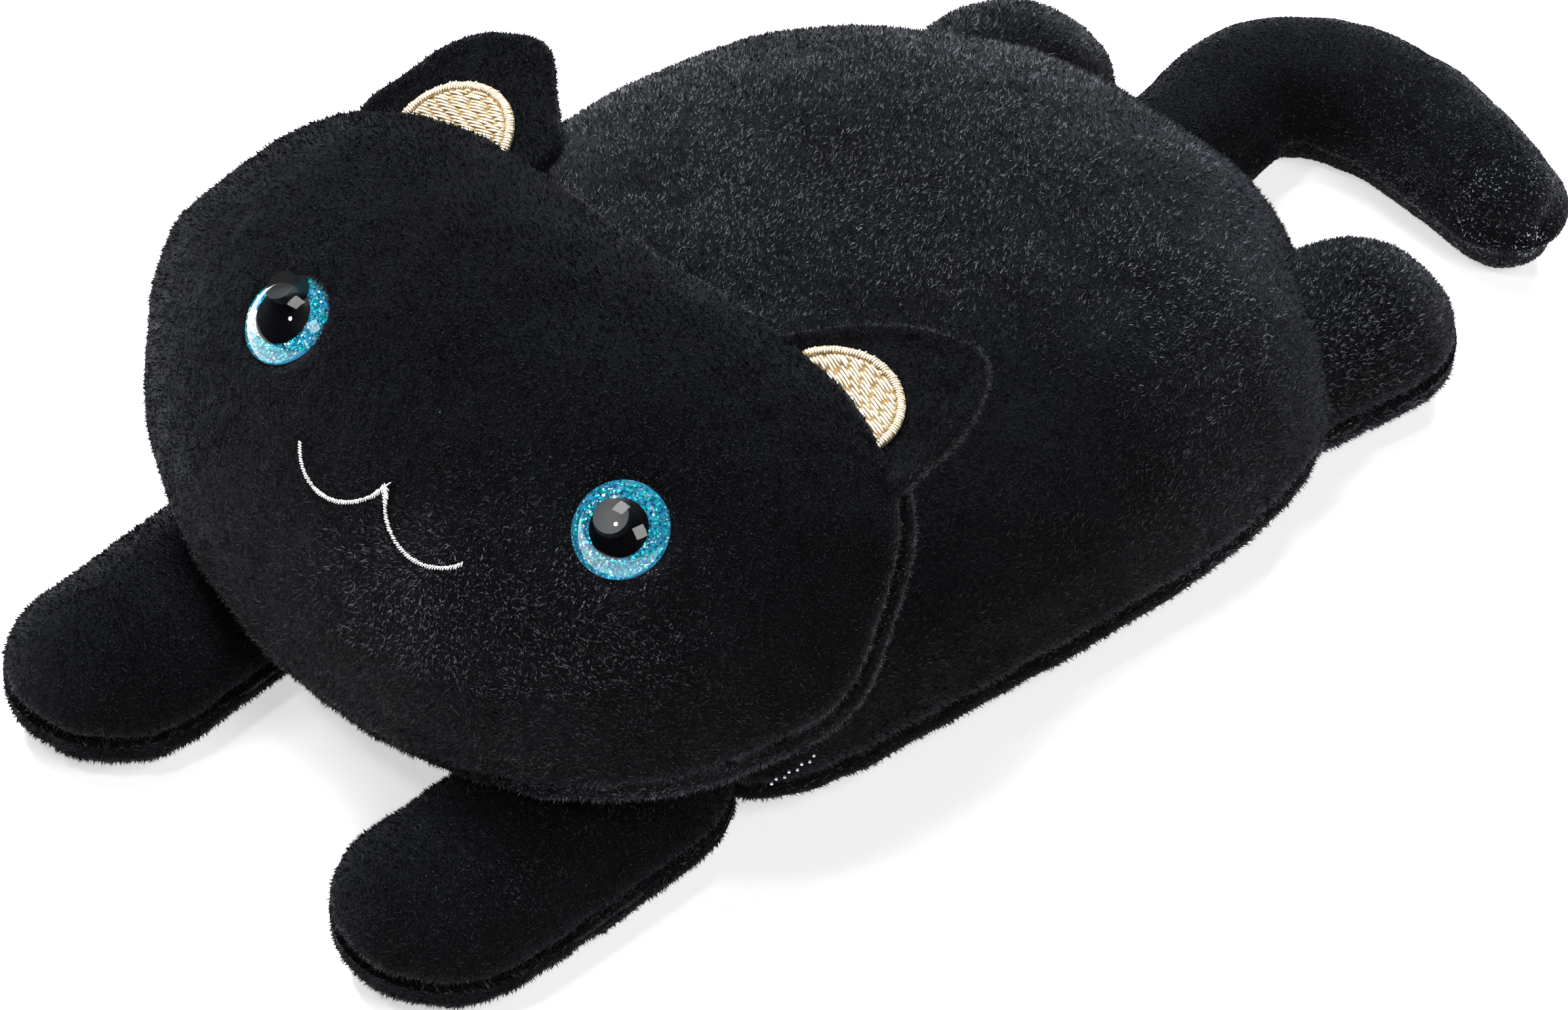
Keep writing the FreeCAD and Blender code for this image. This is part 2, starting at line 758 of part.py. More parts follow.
def write():
    """Write each sub-part to its own STEP file."""
    os.makedirs("parts", exist_ok=True)
    for node, obj in SUBPARTS.items():
        obj.Shape.exportStep(f"parts/{node}.step")
        box = obj.Shape.BoundBox
        print(f"{node:26s} {len(obj.Shape.Solids)} solid(s) {obj.Shape.Volume / 1000:8.2f} cm3 "
              f"x {box.XMin:.1f}..{box.XMax:.1f} y {box.YMin:.1f}..{box.YMax:.1f} z {box.ZMin:.1f}..{box.ZMax:.1f}")


build()
verify()
write()
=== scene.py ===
"""Looks of a lying plush cat: short-pile cloth pillows, glitter eyes and embroidery, on its CAD bodies.

Lengths in the classes are millimetres; meshes are handed to Blender in metres, in the row frame.
"""
import logging
import math
from dataclasses import dataclass, field
from enum import Enum
from typing import Callable, Dict, List, Optional, Sequence, Tuple, Union

import bpy
import numpy as np
from mathutils import Euler, Matrix, Vector
from mathutils.bvhtree import BVHTree


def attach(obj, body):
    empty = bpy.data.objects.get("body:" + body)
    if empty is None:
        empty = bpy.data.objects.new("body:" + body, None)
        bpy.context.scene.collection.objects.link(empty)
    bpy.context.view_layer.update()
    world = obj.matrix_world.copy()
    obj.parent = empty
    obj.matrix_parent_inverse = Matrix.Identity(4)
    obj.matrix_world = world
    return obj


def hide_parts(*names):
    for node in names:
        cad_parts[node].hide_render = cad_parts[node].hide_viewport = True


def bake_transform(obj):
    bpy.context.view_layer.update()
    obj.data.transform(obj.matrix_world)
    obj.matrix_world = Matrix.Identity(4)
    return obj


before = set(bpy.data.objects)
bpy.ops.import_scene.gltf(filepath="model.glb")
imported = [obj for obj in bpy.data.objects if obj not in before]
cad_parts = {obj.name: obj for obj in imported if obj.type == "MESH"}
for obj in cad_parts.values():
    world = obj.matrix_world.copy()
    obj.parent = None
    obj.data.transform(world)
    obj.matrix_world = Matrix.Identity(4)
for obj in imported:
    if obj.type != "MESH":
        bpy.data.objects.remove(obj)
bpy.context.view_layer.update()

LOG = logging.getLogger("plush_cat")
MM = 0.001
Point = Tuple[float, float]
Array = np.ndarray

FIBRE_LIMIT = 195_000  # most fibres on one piece, which keeps each mesh small
PILE_STAND = 0.55  # how far the cloth lies under the outline, to leave room for the fibres, in mm
FLOOR_GAP = 0.35  # the lowest that cloth may lie, in mm
FIBRE_FLOOR = 0.03  # the lowest that a fibre may reach, in mm
# Paleness steps for the five fibre colours; the paler ones are painted sheen and the palest a painted highlight.
SHADE_STEPS = (0.3, 0.6, 0.84, 0.975)  # paleness at which a fibre takes the next of its five shades
PATCH_ROUND = 9.7  # radius of each ear's embroidery, in mm
PATCH_FOOT = -1.3  # its straight edge, in the ear's frame


class Side(Enum):
    """The cat's own left and right: the sign of X."""

    LEFT = 1
    RIGHT = -1

    @property
    def word(self) -> str:
        """The side's name as the CAD nodes use it."""
        return self.name.lower()


# ---------------------------------------------------------------- numbers and noise


def linear(code: str) -> Tuple[float, float, float, float]:
    """Turn an sRGB hex code into the linear colour that shaders use.

    Args:
        code: Six hex digits, with or without a leading hash.

    Returns:
        Linear red, green, blue and an alpha of one.
    """
    code = code.lstrip("#")
    parts = [int(code[i:i + 2], 16) / 255 for i in (0, 2, 4)]
    light = [c / 12.92 if c <= 0.04045 else ((c + 0.055) / 1.055) ** 2.4 for c in parts]
    return (light[0], light[1], light[2], 1.0)


def unit(vectors: Array) -> Array:
    """Scale each row to length one."""
    return vectors / np.maximum(np.linalg.norm(vectors, axis=-1, keepdims=True), 1e-12)


def noise(points: Array, scale: float, seed: int) -> Array:
    """Smooth value noise.

    Args:
        points: N x 3 places.
        scale: Size of one lump, in the units of points.
        seed: Picks the pattern.

    Returns:
        N values from -1 to 1.
    """
    spot = points / scale
    cell = np.floor(spot).astype(np.int64)
    part = spot - cell
    part = part * part * (3 - 2 * part)
    total = np.zeros(len(points))
    for corner in range(8):
        step = np.array([corner & 1, (corner >> 1) & 1, corner >> 2])
        key = (cell + step) @ np.array([73856093, 19349663, 83492791]) + seed * 265443576
        key = (key ^ (key >> 13)) * 1274126177 & 0xFFFFFFFF
        key = (key ^ (key >> 16)) * 2246822519 & 0xFFFFFFFF
        share = np.prod(np.where(step, part, 1 - part), axis=1)
        total += share * (((key >> 8) & 0xFFFF) / 32767.5 - 1)
    return total


def open_curve(points: Sequence[Point], count: int) -> Array:
    """Evenly spaced places on a smooth open line through the given ones."""
    p = np.array(points, float)
    p = np.vstack([2 * p[0] - p[1], p, 2 * p[-1] - p[-2]])
    t = np.linspace(0, 1, 30, endpoint=False)[:, None]
    runs = [0.5 * (2 * b + (c - a) * t + (2 * a - 5 * b + 4 * c - d) * t**2 + (3 * b - a - 3 * c + d) * t**3)
            for a, b, c, d in zip(p[:-3], p[1:-2], p[2:-1], p[3:])]
    dense = np.vstack(runs + [p[-2:-1]])
    walked = np.concatenate([[0], np.cumsum(np.linalg.norm(np.diff(dense, axis=0), axis=1))])
    even = np.linspace(0, walked[-1], count)
    return np.column_stack([np.interp(even, walked, dense[:, k]) for k in (0, 1)])


def closed_curve(points: Sequence[Point], count: int, soften: float = 3.0) -> Array:
    """Lay evenly spaced points on a smooth closed curve.

    Args:
        points: Places that the curve passes near, anticlockwise.
        count: How many points to return.
        soften: How far the curve is smoothed, in mm along itself.

    Returns:
        count x 2 places.
    """
    p = np.array(points, float)
    t = np.linspace(0, 1, 40, endpoint=False)[:, None]
    runs = []
    for i in range(len(p)):
        a, b, c, d = p[i - 1], p[i], p[(i + 1) % len(p)], p[(i + 2) % len(p)]
        runs.append(0.5 * (2 * b + (c - a) * t + (2 * a - 5 * b + 4 * c - d) * t**2
                           + (3 * b - a - 3 * c + d) * t**3))
    dense = np.vstack(runs)
    loop = np.vstack([dense, dense[:1]])
    walked = np.concatenate([[0], np.cumsum(np.linalg.norm(np.diff(loop, axis=0), axis=1))])
    even = np.linspace(0, walked[-1], count, endpoint=False)
    curve = np.column_stack([np.interp(even, walked, loop[:, k]) for k in (0, 1)])
    wave = np.fft.rfftfreq(count, walked[-1] / count)[:, None]
    damp = np.exp(-2 * (math.pi * wave * soften) ** 2)
    return np.fft.irfft(np.fft.rfft(curve, axis=0) * damp, count, axis=0)


# ---------------------------------------------------------------- meshes


def mesh_object(name: str, verts: Array, faces: Array, smooth: bool = True) -> bpy.types.Object:
    """Make an object from arrays.

    Args:
        name: The piece's name.
        verts: N x 3 places in mm, in the row frame.
        faces: M x 3 or M x 4 corner numbers.
        smooth: Whether the faces shade smoothly.

    Returns:
        The new object, linked to the scene.
    """
    mesh = bpy.data.meshes.new(name)
    mesh.vertices.add(len(verts))
    mesh.vertices.foreach_set("co", (verts * MM).astype(np.float32).ravel())
    corners = faces.shape[1]
    mesh.loops.add(faces.size)
    mesh.loops.foreach_set("vertex_index", faces.astype(np.int32).ravel())
    mesh.polygons.add(len(faces))
    mesh.polygons.foreach_set("loop_start", np.arange(0, faces.size, corners, dtype=np.int32))
    mesh.polygons.foreach_set("use_smooth", np.full(len(faces), smooth))
    mesh.update(calc_edges=True)
    mesh.validate()
    item = bpy.data.objects.new(name, mesh)
    bpy.context.scene.collection.objects.link(item)
    return item


def vertex_normals(verts: Array, faces: Array) -> Array:
    """Outward normals of a closed grid whose faces turn anticlockwise seen from outside."""
    normals = np.zeros_like(verts)
    cross = np.cross(verts[faces[:, 2]] - verts[faces[:, 0]], verts[faces[:, -1]] - verts[faces[:, 1]])
    for k in range(faces.shape[1]):
        np.add.at(normals, faces[:, k], cross)
    return unit(normals)


@dataclass
class Pillow:
    """A stuffed shape: a smooth outline in a flat seam plane, crowned above and below it.

    Attributes:
        outline: Places round the seam, anticlockwise.
        centre: The place that the rings close in on.
        over: Height of the crown above the seam plane.
        under: Depth below it.
        over_power: Fullness of the crown: 0.5 is round, less is flatter with steeper sides.
        under_flat: Flatness of the lower side: 2 is round, more is flat with tight edges.
        seam: Height of the seam plane.
        spine: Ends of the ridge for a long shape, or None for a round one.
        half: Half width at each end of the spine.
        around: Points round the outline.
        rings: Rings from the seam to the middle on each side.
        soften: How far the outline is smoothed, in mm.
    """

    outline: Sequence[Point]
    centre: Point
    over: float
    under: float
    seam: float = 0.0
    over_power: float = 0.55
    under_flat: float = 2.0
    spine: Optional[Tuple[Point, Point]] = None
    half: Tuple[float, float] = (1.0, 1.0)
    around: int = 380
    rings: int = 60
    soften: float = 3.0

    def grid(self) -> Tuple[Array, Array, Array, Array]:
        """Build the closed shape.

        Returns:
            Places, faces, the way along the cloth from the seam in mm, and +1 above or -1 below.
        """
        rim = closed_curve(self.outline, self.around, self.soften)
        middle = np.array(self.centre, float)
        angle = (np.arange(self.rings) / (self.rings - 0.85)) ** 1.15 * math.pi / 2
        rows = []
        for side, steps in ((1, angle), (-1, angle[1:])):
            for a in steps:
                flat = middle + math.cos(a) * (rim - middle)
                rows.append((flat, side, a))
        rows.append((middle[None, :], 1, math.pi / 2))
        rows.append((middle[None, :], -1, math.pi / 2))
        verts, sides = [], []
        for flat, side, a in rows:
            m = np.minimum(self.reach(flat, math.cos(a)), 1.0)
            if side > 0:
                z = self.seam + self.over * (1 - m**2) ** self.over_power
            else:
                z = self.seam - self.under * (1 - m**self.under_flat) ** (1 / self.under_flat)
            verts.append(np.column_stack([flat, z]))
            sides.append(np.full(len(flat), side))
        placed = np.vstack(verts)
        return placed, self.faces(), self.from_seam(placed), np.concatenate(sides)

    def from_seam(self, verts: Array) -> Array:
        """How far each point lies from the seam, along the cloth."""
        n, rings = self.around, self.rings
        away = np.zeros(len(verts))
        for first in (n, rings * n):
            before, walked = verts[:n], np.zeros(n)
            for k in range(rings - 1):
                ring = slice(first + k * n, first + (k + 1) * n)
                walked = walked + np.linalg.norm(verts[ring] - before, axis=1)
                away[ring] = walked
                before = verts[ring]
        away[-2:] = away.max()
        return away

    def reach(self, flat: Array, ring: float) -> Array:
        """How far out places lie, from 0 on the ridge or middle to 1 on the seam.

        Args:
            flat: The places, in the seam plane.
            ring: The share of the way out for a round shape.
        """
        if self.spine is None:
            return np.full(len(flat), ring)
        a, b = (np.array(p, float) for p in self.spine)
        along = np.clip((flat - a) @ (b - a) / ((b - a) @ (b - a)), 0, 1)
        away = np.linalg.norm(flat - a - along[:, None] * (b - a), axis=1)
        full = self.half[0] + (self.half[1] - self.half[0]) * along
        return np.where(ring > 0.999, 1.0, np.minimum(away / full, ring + (1 - ring) * 0.999))

    def faces(self) -> Array:
        """Quads between the rings, and the fans at both middles as quads with a repeated corner left out."""
        n, rings = self.around, self.rings
        i = np.arange(n)
        j = (i + 1) % n
        quads = []
        for k in range(rings - 1):
            quads.append(np.column_stack([k * n + i, k * n + j, (k + 1) * n + j, (k + 1) * n + i]))
        low = [0] + [rings + k for k in range(rings - 1)]
        for a, b in zip(low[:-1], low[1:]):
            quads.append(np.column_stack([a * n + j, a * n + i, b * n + i, b * n + j]))
        top, bottom = (2 * rings - 1) * n, (2 * rings - 1) * n + 1
        last = (rings - 1) * n
        half = i[::2]
        a, b, c = last + half, last + (half + 1) % n, last + (half + 2) % n
        quads.append(np.column_stack([a, b, c, np.full(len(half), top)]))
        last = low[-1] * n
        a, b, c = last + half, last + (half + 1) % n, last + (half + 2) % n
        quads.append(np.column_stack([c, b, a, np.full(len(half), bottom)]))
        return np.vstack(quads)


@dataclass
class Tube:
    """A stuffed roll along a curved line, with its seam in a level plane round it.

    Attributes:
        line: Places along its middle, from root to tip.
        half: Half width at each place.
        over: Height above the seam at each place.
        under: Depth below the seam.
        seam: Height of the seam plane.
        stations: Rings along it.
        around: Points round each ring.
    """

    line: Sequence[Point]
    half: Sequence[float]
    over: Sequence[float]
    under: float
    seam: float
    stations: int = 260
    around: int = 96

    def grid(self) -> Tuple[Array, Array, Array, Array]:
        """Build the closed shape; returns what Pillow.grid does."""
        middle = open_curve(self.line, self.stations)
        walked = np.concatenate([[0], np.cumsum(np.linalg.norm(np.diff(middle, axis=0), axis=1))])
        step = unit(np.gradient(middle, axis=0))
        left = np.column_stack([-step[:, 1], step[:, 0]])
        known = np.linspace(0, walked[-1], len(self.line))
        half, over = np.interp(walked, known, self.half), np.interp(walked, known, self.over)
        past = np.clip((half - (walked[-1] - walked)) / half, 0, 1)
        before = np.clip((half - walked) / half, 0, 1)
        close = np.sqrt(np.clip(1 - np.maximum(past, before) ** 2, 0, 1))
        verts, edge, side = [], [], []
        turn = 2 * math.pi * np.arange(self.around) / self.around
        for k in range(1, self.stations - 1):
            up = np.where(np.sin(turn) > 0, over[k], self.under) * close[k] ** 0.8
            wide = np.sign(np.cos(turn)) * np.abs(np.cos(turn)) ** 0.85 * half[k] * close[k]
            tall = np.sign(np.sin(turn)) * np.abs(np.sin(turn)) ** 0.9 * up
            flat = middle[k] + wide[:, None] * left[k]
            verts.append(np.column_stack([flat, self.seam + tall]))
            edge.append(np.abs(np.arcsin(np.sin(turn))) * (half[k] + up) / 2)
            side.append(np.where(np.sin(turn) >= 0, 1, -1))
        for end in (0, -1):
            verts.append(np.array([[*middle[end], self.seam]]))
            edge.append(np.zeros(1))
            side.append(np.ones(1, int))
        return np.vstack(verts), self.faces(), np.concatenate(edge), np.concatenate(side)

    def faces(self) -> Array:
        """Quads between the rings and at both ends."""
        n, rings = self.around, self.stations - 2
        i = np.arange(n)
        j = (i + 1) % n
        quads = [np.column_stack([k * n + j, k * n + i, (k + 1) * n + i, (k + 1) * n + j])
                 for k in range(rings - 1)]
        half = i[::2]
        for last, pole, order in ((0, rings * n, 1), ((rings - 1) * n, rings * n + 1, -1)):
            corners = [last + half, last + (half + 1) % n, last + (half + 2) % n, np.full(len(half), pole)]
            quads.append(np.column_stack(corners[::order]))
        return np.vstack(quads)


Shape = Union[Pillow, Tube]


@dataclass
class Placing:
    """Where a shape's own frame lies in the row frame: an origin in mm and turns in degrees."""

    origin: Tuple[float, float, float] = (0.0, 0.0, 0.0)
    turns: Tuple[Tuple[str, float], ...] = ()

    def matrix(self) -> Array:
        """The 3 x 3 rotation, outermost turn first."""
        turned = Matrix.Identity(3)
        for axis, degrees in self.turns:
            turned = turned @ Matrix.Rotation(math.radians(degrees), 3, axis)
        return np.array(turned)

    def apply(self, points: Array) -> Array:
        """Carry places from the shape's frame to the row frame."""
        return np.asarray(points, float) @ self.matrix().T + np.array(self.origin)

    def inside(self, other: "Placing") -> "Placing":
        """This placing, itself given in another one's frame."""
        return Placing(tuple(other.apply([self.origin])[0]), other.turns + self.turns)


class Shell:
    """The cloth of a stuffed piece as arrays, ready to be dressed and given its pile."""

    def __init__(self, shape: "Shape", placing: Placing) -> None:
        """Build the shape and carry it to the row frame.

        Args:
            shape: The stuffed shape.
            placing: Where its frame lies.
        """
        verts, self.faces, self.edge, self.side = shape.grid()
        self.verts = placing.apply(verts)
        self.tree: Optional[BVHTree] = None

    def normals(self) -> Array:
        """Outward normals at the points."""
        return vertex_normals(self.verts, self.faces)

    def push(self, amount: Array) -> None:
        """Move each point along its normal, in mm."""
        self.verts = self.verts + self.normals() * np.asarray(amount)[..., None]

    def dress(self, seed: int, pucker: float = 0.45, lump: float = 0.5, sink: float = 1.3) -> None:
        """Give plain cloth its seam groove, the puckers beside it and the soft lumps of the filling.

        Args:
            seed: Picks the pattern.
            pucker: Height of the puckers in mm.
            lump: Height of the lumps in mm.
            sink: Depth of the seam groove in mm, about 1.1 mm wide, with a low roll of cloth beside it.
        """
        spots = self.verts
        soft = lump * noise(spots, 17.0, seed) + 0.45 * lump * noise(spots, 8.0, seed + 1)
        soft += 0.22 * lump * noise(spots, 3.2, seed + 2)
        fold = noise(spots * np.array([1.0, 1.0, 0.25]), 4.6, seed + 3) + 0.5 * noise(spots, 2.4, seed + 4)
        fold *= pucker * np.exp(-self.edge / 4.5)
        roll = 0.35 * sink * np.exp(-((self.edge - 3.0) / 1.8) ** 2)
        groove = -sink * np.exp(-(self.edge / 1.1) ** 2) + roll
        self.push(soft * np.clip(self.edge / 6.0, 0.25, 1.0) + fold + groove - PILE_STAND)

    def over(self, frame_of: "Placing", x: float, y: float) -> Array:
        """Where the cloth lies over a place.

        Args:
            frame_of: The frame that the place is given in.
            x: Across it in mm.
            y: Up it in mm.

        Returns:
            The place on the cloth, in the row frame.
        """
        if self.tree is None:
            self.tree = BVHTree.FromPolygons(self.verts.tolist(), self.faces.tolist())
        above = frame_of.apply([(x, y, 60.0)])[0]
        spot = self.tree.ray_cast(Vector(above), Vector(-frame_of.matrix()[:, 2]))[0]
        return np.array(spot) if spot else frame_of.apply([(x, y, 0.0)])[0]

    def piece(self, name: str) -> bpy.types.Object:
        """The cloth as an object."""
        return mesh_object(name, self.verts, self.faces)


@dataclass(frozen=True)
class Pile:
    """Short cut fibres that stand on plush cloth.

    Attributes:
        density: Fibres per square mm where the pile shows.
        length: Fibre length in mm.
        width: Fibre width at its foot in mm.
        lean: How far fibres lie over, from 0 upright to 1 flat.
        stray: How much their directions scatter.
    """

    density: float = 7.5
    length: float = 0.88
    width: float = 0.25
    lean: float = 0.4
    stray: float = 0.6

    def grow(self, name: str, shell: Shell, nap: Tuple[float, float, float], seed: int,
             share: Optional[Callable[[Array], Array]] = None) -> bpy.types.Object:
        """Plant fibres all over a shell.

        Args:
            name: The piece's name.
            shell: The cloth that they stand on.
            nap: The way that the fibres lean, in the row frame.
            seed: Picks the pattern.
            share: Gives each place the share of the full density that it keeps.

        Returns:
            One object that holds every fibre as a small tapered blade.
        """
        rng = np.random.default_rng(seed)
        verts, normals = shell.verts, shell.normals()
        tris = np.vstack([shell.faces[:, [0, 1, 2]], shell.faces[:, [0, 2, 3]]])
        a, b, c = (verts[tris[:, k]] for k in range(3))
        area = np.linalg.norm(np.cross(b - a, c - a), axis=1) / 2
        weight = area * (share((a + b + c) / 3) if share else 1.0)
        count = min(int(weight.sum() * self.density), FIBRE_LIMIT)
        pick = rng.choice(len(tris), count, p=weight / weight.sum())
        u, v = rng.random((2, count))
        over = u + v > 1
        u, v = np.where(over, 1 - u, u), np.where(over, 1 - v, v)
        mix = np.column_stack([1 - u - v, u, v])
        foot = sum(mix[:, [k]] * verts[tris[pick, k]] for k in range(3))
        out = unit(sum(mix[:, [k]] * normals[tris[pick, k]] for k in range(3)))
        brushed = np.array(nap) + 0.9 * np.column_stack([noise(foot, 21.0, seed + k) for k in (5, 6, 7)])
        brushed += 0.5 * np.column_stack([noise(foot, 5.0, seed + k) for k in (8, 9, 10)])
        along = unit(brushed - out * np.sum(brushed * out, axis=1, keepdims=True))
        scatter = rng.normal(size=(count, 3)) * self.stray
        lean = np.clip(self.lean + 0.2 * noise(foot, 12.0, seed + 11), 0.2, 0.9)[:, None]
        point = unit(out * (1 - lean) + along * lean + scatter * 0.6)
        point = unit(point + out * np.clip(0.25 - np.sum(point * out, axis=1, keepdims=True), 0, None))
        reach = self.length * (0.6 + 0.6 * rng.random(count))[:, None]
        across = unit(np.cross(point, out + rng.normal(size=(count, 3)) * 0.6)) * self.width / 2
        base = foot - out * 0.12
        blades = np.stack([base - across, base + across, base + point * reach], axis=1)
        blades[:, :, 2] = np.maximum(blades[:, :, 2], FIBRE_FLOOR)
        return mesh_object(name, blades.reshape(-1, 3), np.arange(count * 3).reshape(-1, 3), smooth=False)


# ---------------------------------------------------------------- finishes

# Pattern scales are lumps per metre: 90 gives patches about 11 mm wide, 400 the paper's tooth at 2.5 mm, 900 the
# plastic's swirl at 1.1 mm, 1500 the thread's shades at 0.7 mm, 2600 the knit at 0.4 mm and 7000 the thread's
# twist at 0.14 mm.


def add(tree: bpy.types.NodeTree, kind: str, links: Optional[Dict[str, object]] = None,
        **settings: object) -> bpy.types.Node:
    """Add one shader node.

    Args:
        tree: The material's node tree.
        kind: The node's type without its ShaderNode prefix.
        links: Input name to another node's output or to a plain value.
        settings: Attributes of the node itself.

    Returns:
        The new node.
    """
    node = tree.nodes.new(f"ShaderNode{kind}")
    for key, value in settings.items():
        setattr(node, key, value)
    for key, value in (links or {}).items():
        socket = node.inputs[int(key)] if key.isdigit() else node.inputs[key]
        if isinstance(value, bpy.types.NodeSocket):
            tree.links.new(value, socket)
        else:
            socket.default_value = value
    return node


def blank(name: str) -> Tuple[bpy.types.Material, bpy.types.NodeTree, bpy.types.Node]:
    """A new material with an empty tree and its output node."""
    material = bpy.data.materials.new(name)
    material.use_nodes = True
    tree = material.node_tree
    tree.nodes.clear()
    return material, tree, tree.nodes.new("ShaderNodeOutputMaterial")


def ramp(tree: bpy.types.NodeTree, source: bpy.types.NodeSocket,
         stops: Sequence[Tuple[float, str]]) -> bpy.types.Node:
    """A colour ramp with hex colours at its stops."""
    node = add(tree, "ValToRGB", {"Fac": source})
    bar = node.color_ramp.elements
    while len(bar) < len(stops):
        bar.new(0.5)
    for element, (spot, code) in zip(bar, stops):
        element.position = spot
        element.color = linear(code)
    return node


def coated(parts: Tuple[bpy.types.Material, bpy.types.NodeTree, bpy.types.Node],
           links: Dict[str, object]) -> bpy.types.Material:
    """Give a blank material one principled surface.

    Args:
        parts: What blank returned.
        links: The surface's inputs, as add takes them.

    Returns:
        The finished material.
    """
    material, tree, out = parts
    surface = add(tree, "BsdfPrincipled", links)
    tree.links.new(surface.outputs[0], out.inputs["Surface"])
    return material


@dataclass(frozen=True)
class PlushCloth:
    """Knitted polyester backing between the fibres: nearly black and dull, with a cool sheen at a slant."""

    name: str = "polyester_plush_cloth"
    deep: str = "030304"
    worn: str = "08090B"

    def build(self) -> bpy.types.Material:
        """Make the material."""
        parts = blank(self.name)
        tree = parts[1]
        spot = add(tree, "TexCoord").outputs["Object"]
        nap = add(tree, "TexNoise", {"Vector": spot, "Scale": 90.0, "Detail": 3.0})
        grain = add(tree, "TexNoise", {"Vector": spot, "Scale": 2600.0, "Detail": 2.0})
        colour = ramp(tree, nap.outputs["Fac"], ((0.3, self.deep), (0.75, self.worn)))
        bump = add(tree, "Bump", {"Height": grain.outputs["Fac"], "Strength": 0.8, "Distance": 0.0004})
        return coated(parts, {
            "Base Color": colour.outputs["Color"], "Normal": bump.outputs["Normal"], "Roughness": 0.85,
            "IOR": 1.45, "Specular IOR Level": 0.1, "Sheen Weight": 0.12, "Sheen Roughness": 0.4,
            "Sheen Tint": linear("9FA6B8")})


@dataclass(frozen=True)
class PlushFibre:
    """Dyed polyester fibre: dark, with a soft highlight along its side, which greys the pile at a slant."""

    name: str
    colour: str
    rough: float = 0.5
    sheen: float = 0.12

    def build(self) -> bpy.types.Material:
        """Make the material."""
        parts = blank(self.name)
        return coated(parts, {
            "Base Color": linear(self.colour), "Roughness": self.rough, "IOR": 1.5,
            "Specular IOR Level": 0.25, "Sheen Weight": self.sheen, "Sheen Roughness": 0.5,
            "Sheen Tint": linear("A9B2C6")})


@dataclass(frozen=True)
class Thread:
    """Rayon embroidery thread: twisted filaments with a silky highlight across the twist."""

    name: str
    light: str
    dark: str
    rough: float = 0.38

    def build(self) -> bpy.types.Material:
        """Make the material."""
        parts = blank(self.name)
        tree = parts[1]
        spot = add(tree, "TexCoord").outputs["Object"]
        tone = add(tree, "TexNoise", {"Vector": spot, "Scale": 1500.0, "Detail": 2.0})
        twist = add(tree, "TexNoise", {"Vector": spot, "Scale": 7000.0, "Detail": 1.0})
        colour = ramp(tree, tone.outputs["Fac"], ((0.3, self.dark), (0.62, self.light)))
        bump = add(tree, "Bump", {"Height": twist.outputs["Fac"], "Strength": 0.5, "Distance": 0.0001})
        return coated(parts, {
            "Base Color": colour.outputs["Color"], "Normal": bump.outputs["Normal"], "Roughness": self.rough,
            "IOR": 1.53, "Sheen Weight": 0.3, "Sheen Roughness": 0.3})


@dataclass(frozen=True)
class Moulded:
    """Moulded plastic with the faint swirl of the tool, glossy or dull."""

    name: str
    colour: str
    rough: float
    shine: float = 0.5

    def build(self) -> bpy.types.Material:
        """Make the material."""
        parts = blank(self.name)
        tree = parts[1]
        spot = add(tree, "TexCoord").outputs["Object"]
        swirl = add(tree, "TexNoise", {"Vector": spot, "Scale": 900.0, "Detail": 3.0})
        sheen = add(tree, "MapRange", {
            "Value": swirl.outputs["Fac"], "To Min": self.rough, "To Max": self.rough + 0.05})
        return coated(parts, {
            "Base Color": linear(self.colour), "Roughness": sheen.outputs["Result"], "IOR": 1.5,
            "Specular IOR Level": self.shine})


@dataclass(frozen=True)
class ClearAcrylic:
    """Polished clear acrylic: sharp mirror highlights over whatever lies behind it."""

    name: str = "clear_acrylic"

    def build(self) -> bpy.types.Material:
        """Make the material: glass to the eye, and clear to the lamps' light."""
        material, tree, out = blank(self.name)
        glass = add(tree, "BsdfPrincipled", {
            "Base Color": linear("FAFDFF"), "Roughness": 0.02, "IOR": 1.49, "Specular IOR Level": 1.0,
            "Transmission Weight": 1.0})
        clear = add(tree, "BsdfTransparent")
        shadow = add(tree, "LightPath").outputs["Is Shadow Ray"]
        both = add(tree, "MixShader", {"0": shadow, "1": glass.outputs[0], "2": clear.outputs[0]})
        tree.links.new(both.outputs[0], out.inputs["Surface"])
        return material


@dataclass(frozen=True)
class Foil:
    """Metallised polyester flake or film behind the eye: a tinted mirror, a little rough."""

    name: str
    colour: str
    rough: float = 0.22
    metal: float = 0.8

    def build(self) -> bpy.types.Material:
        """Make the material."""
        parts = blank(self.name)
        return coated(parts, {
            "Base Color": linear(self.colour), "Roughness": self.rough, "Metallic": self.metal, "IOR": 1.5})


@dataclass(frozen=True)
class Backdrop:
    """Matt studio paper on a light table: pale, with a barely visible tooth, and soft shadows."""

    name: str = "studio_paper"
    glow: float = 0.6

    def build(self) -> bpy.types.Material:
        """Make the material."""
        parts = blank(self.name)
        tree = parts[1]
        spot = add(tree, "TexCoord").outputs["Object"]
        tooth = add(tree, "TexNoise", {"Vector": spot, "Scale": 400.0, "Detail": 4.0})
        colour = ramp(tree, tooth.outputs["Fac"], ((0.3, "F4F4F4"), (0.7, "F8F8F8")))
        return coated(parts, {
            "Base Color": colour.outputs["Color"], "Roughness": 0.9, "Specular IOR Level": 0.0,
            "Emission Color": linear("FFFFFF"), "Emission Strength": self.glow})


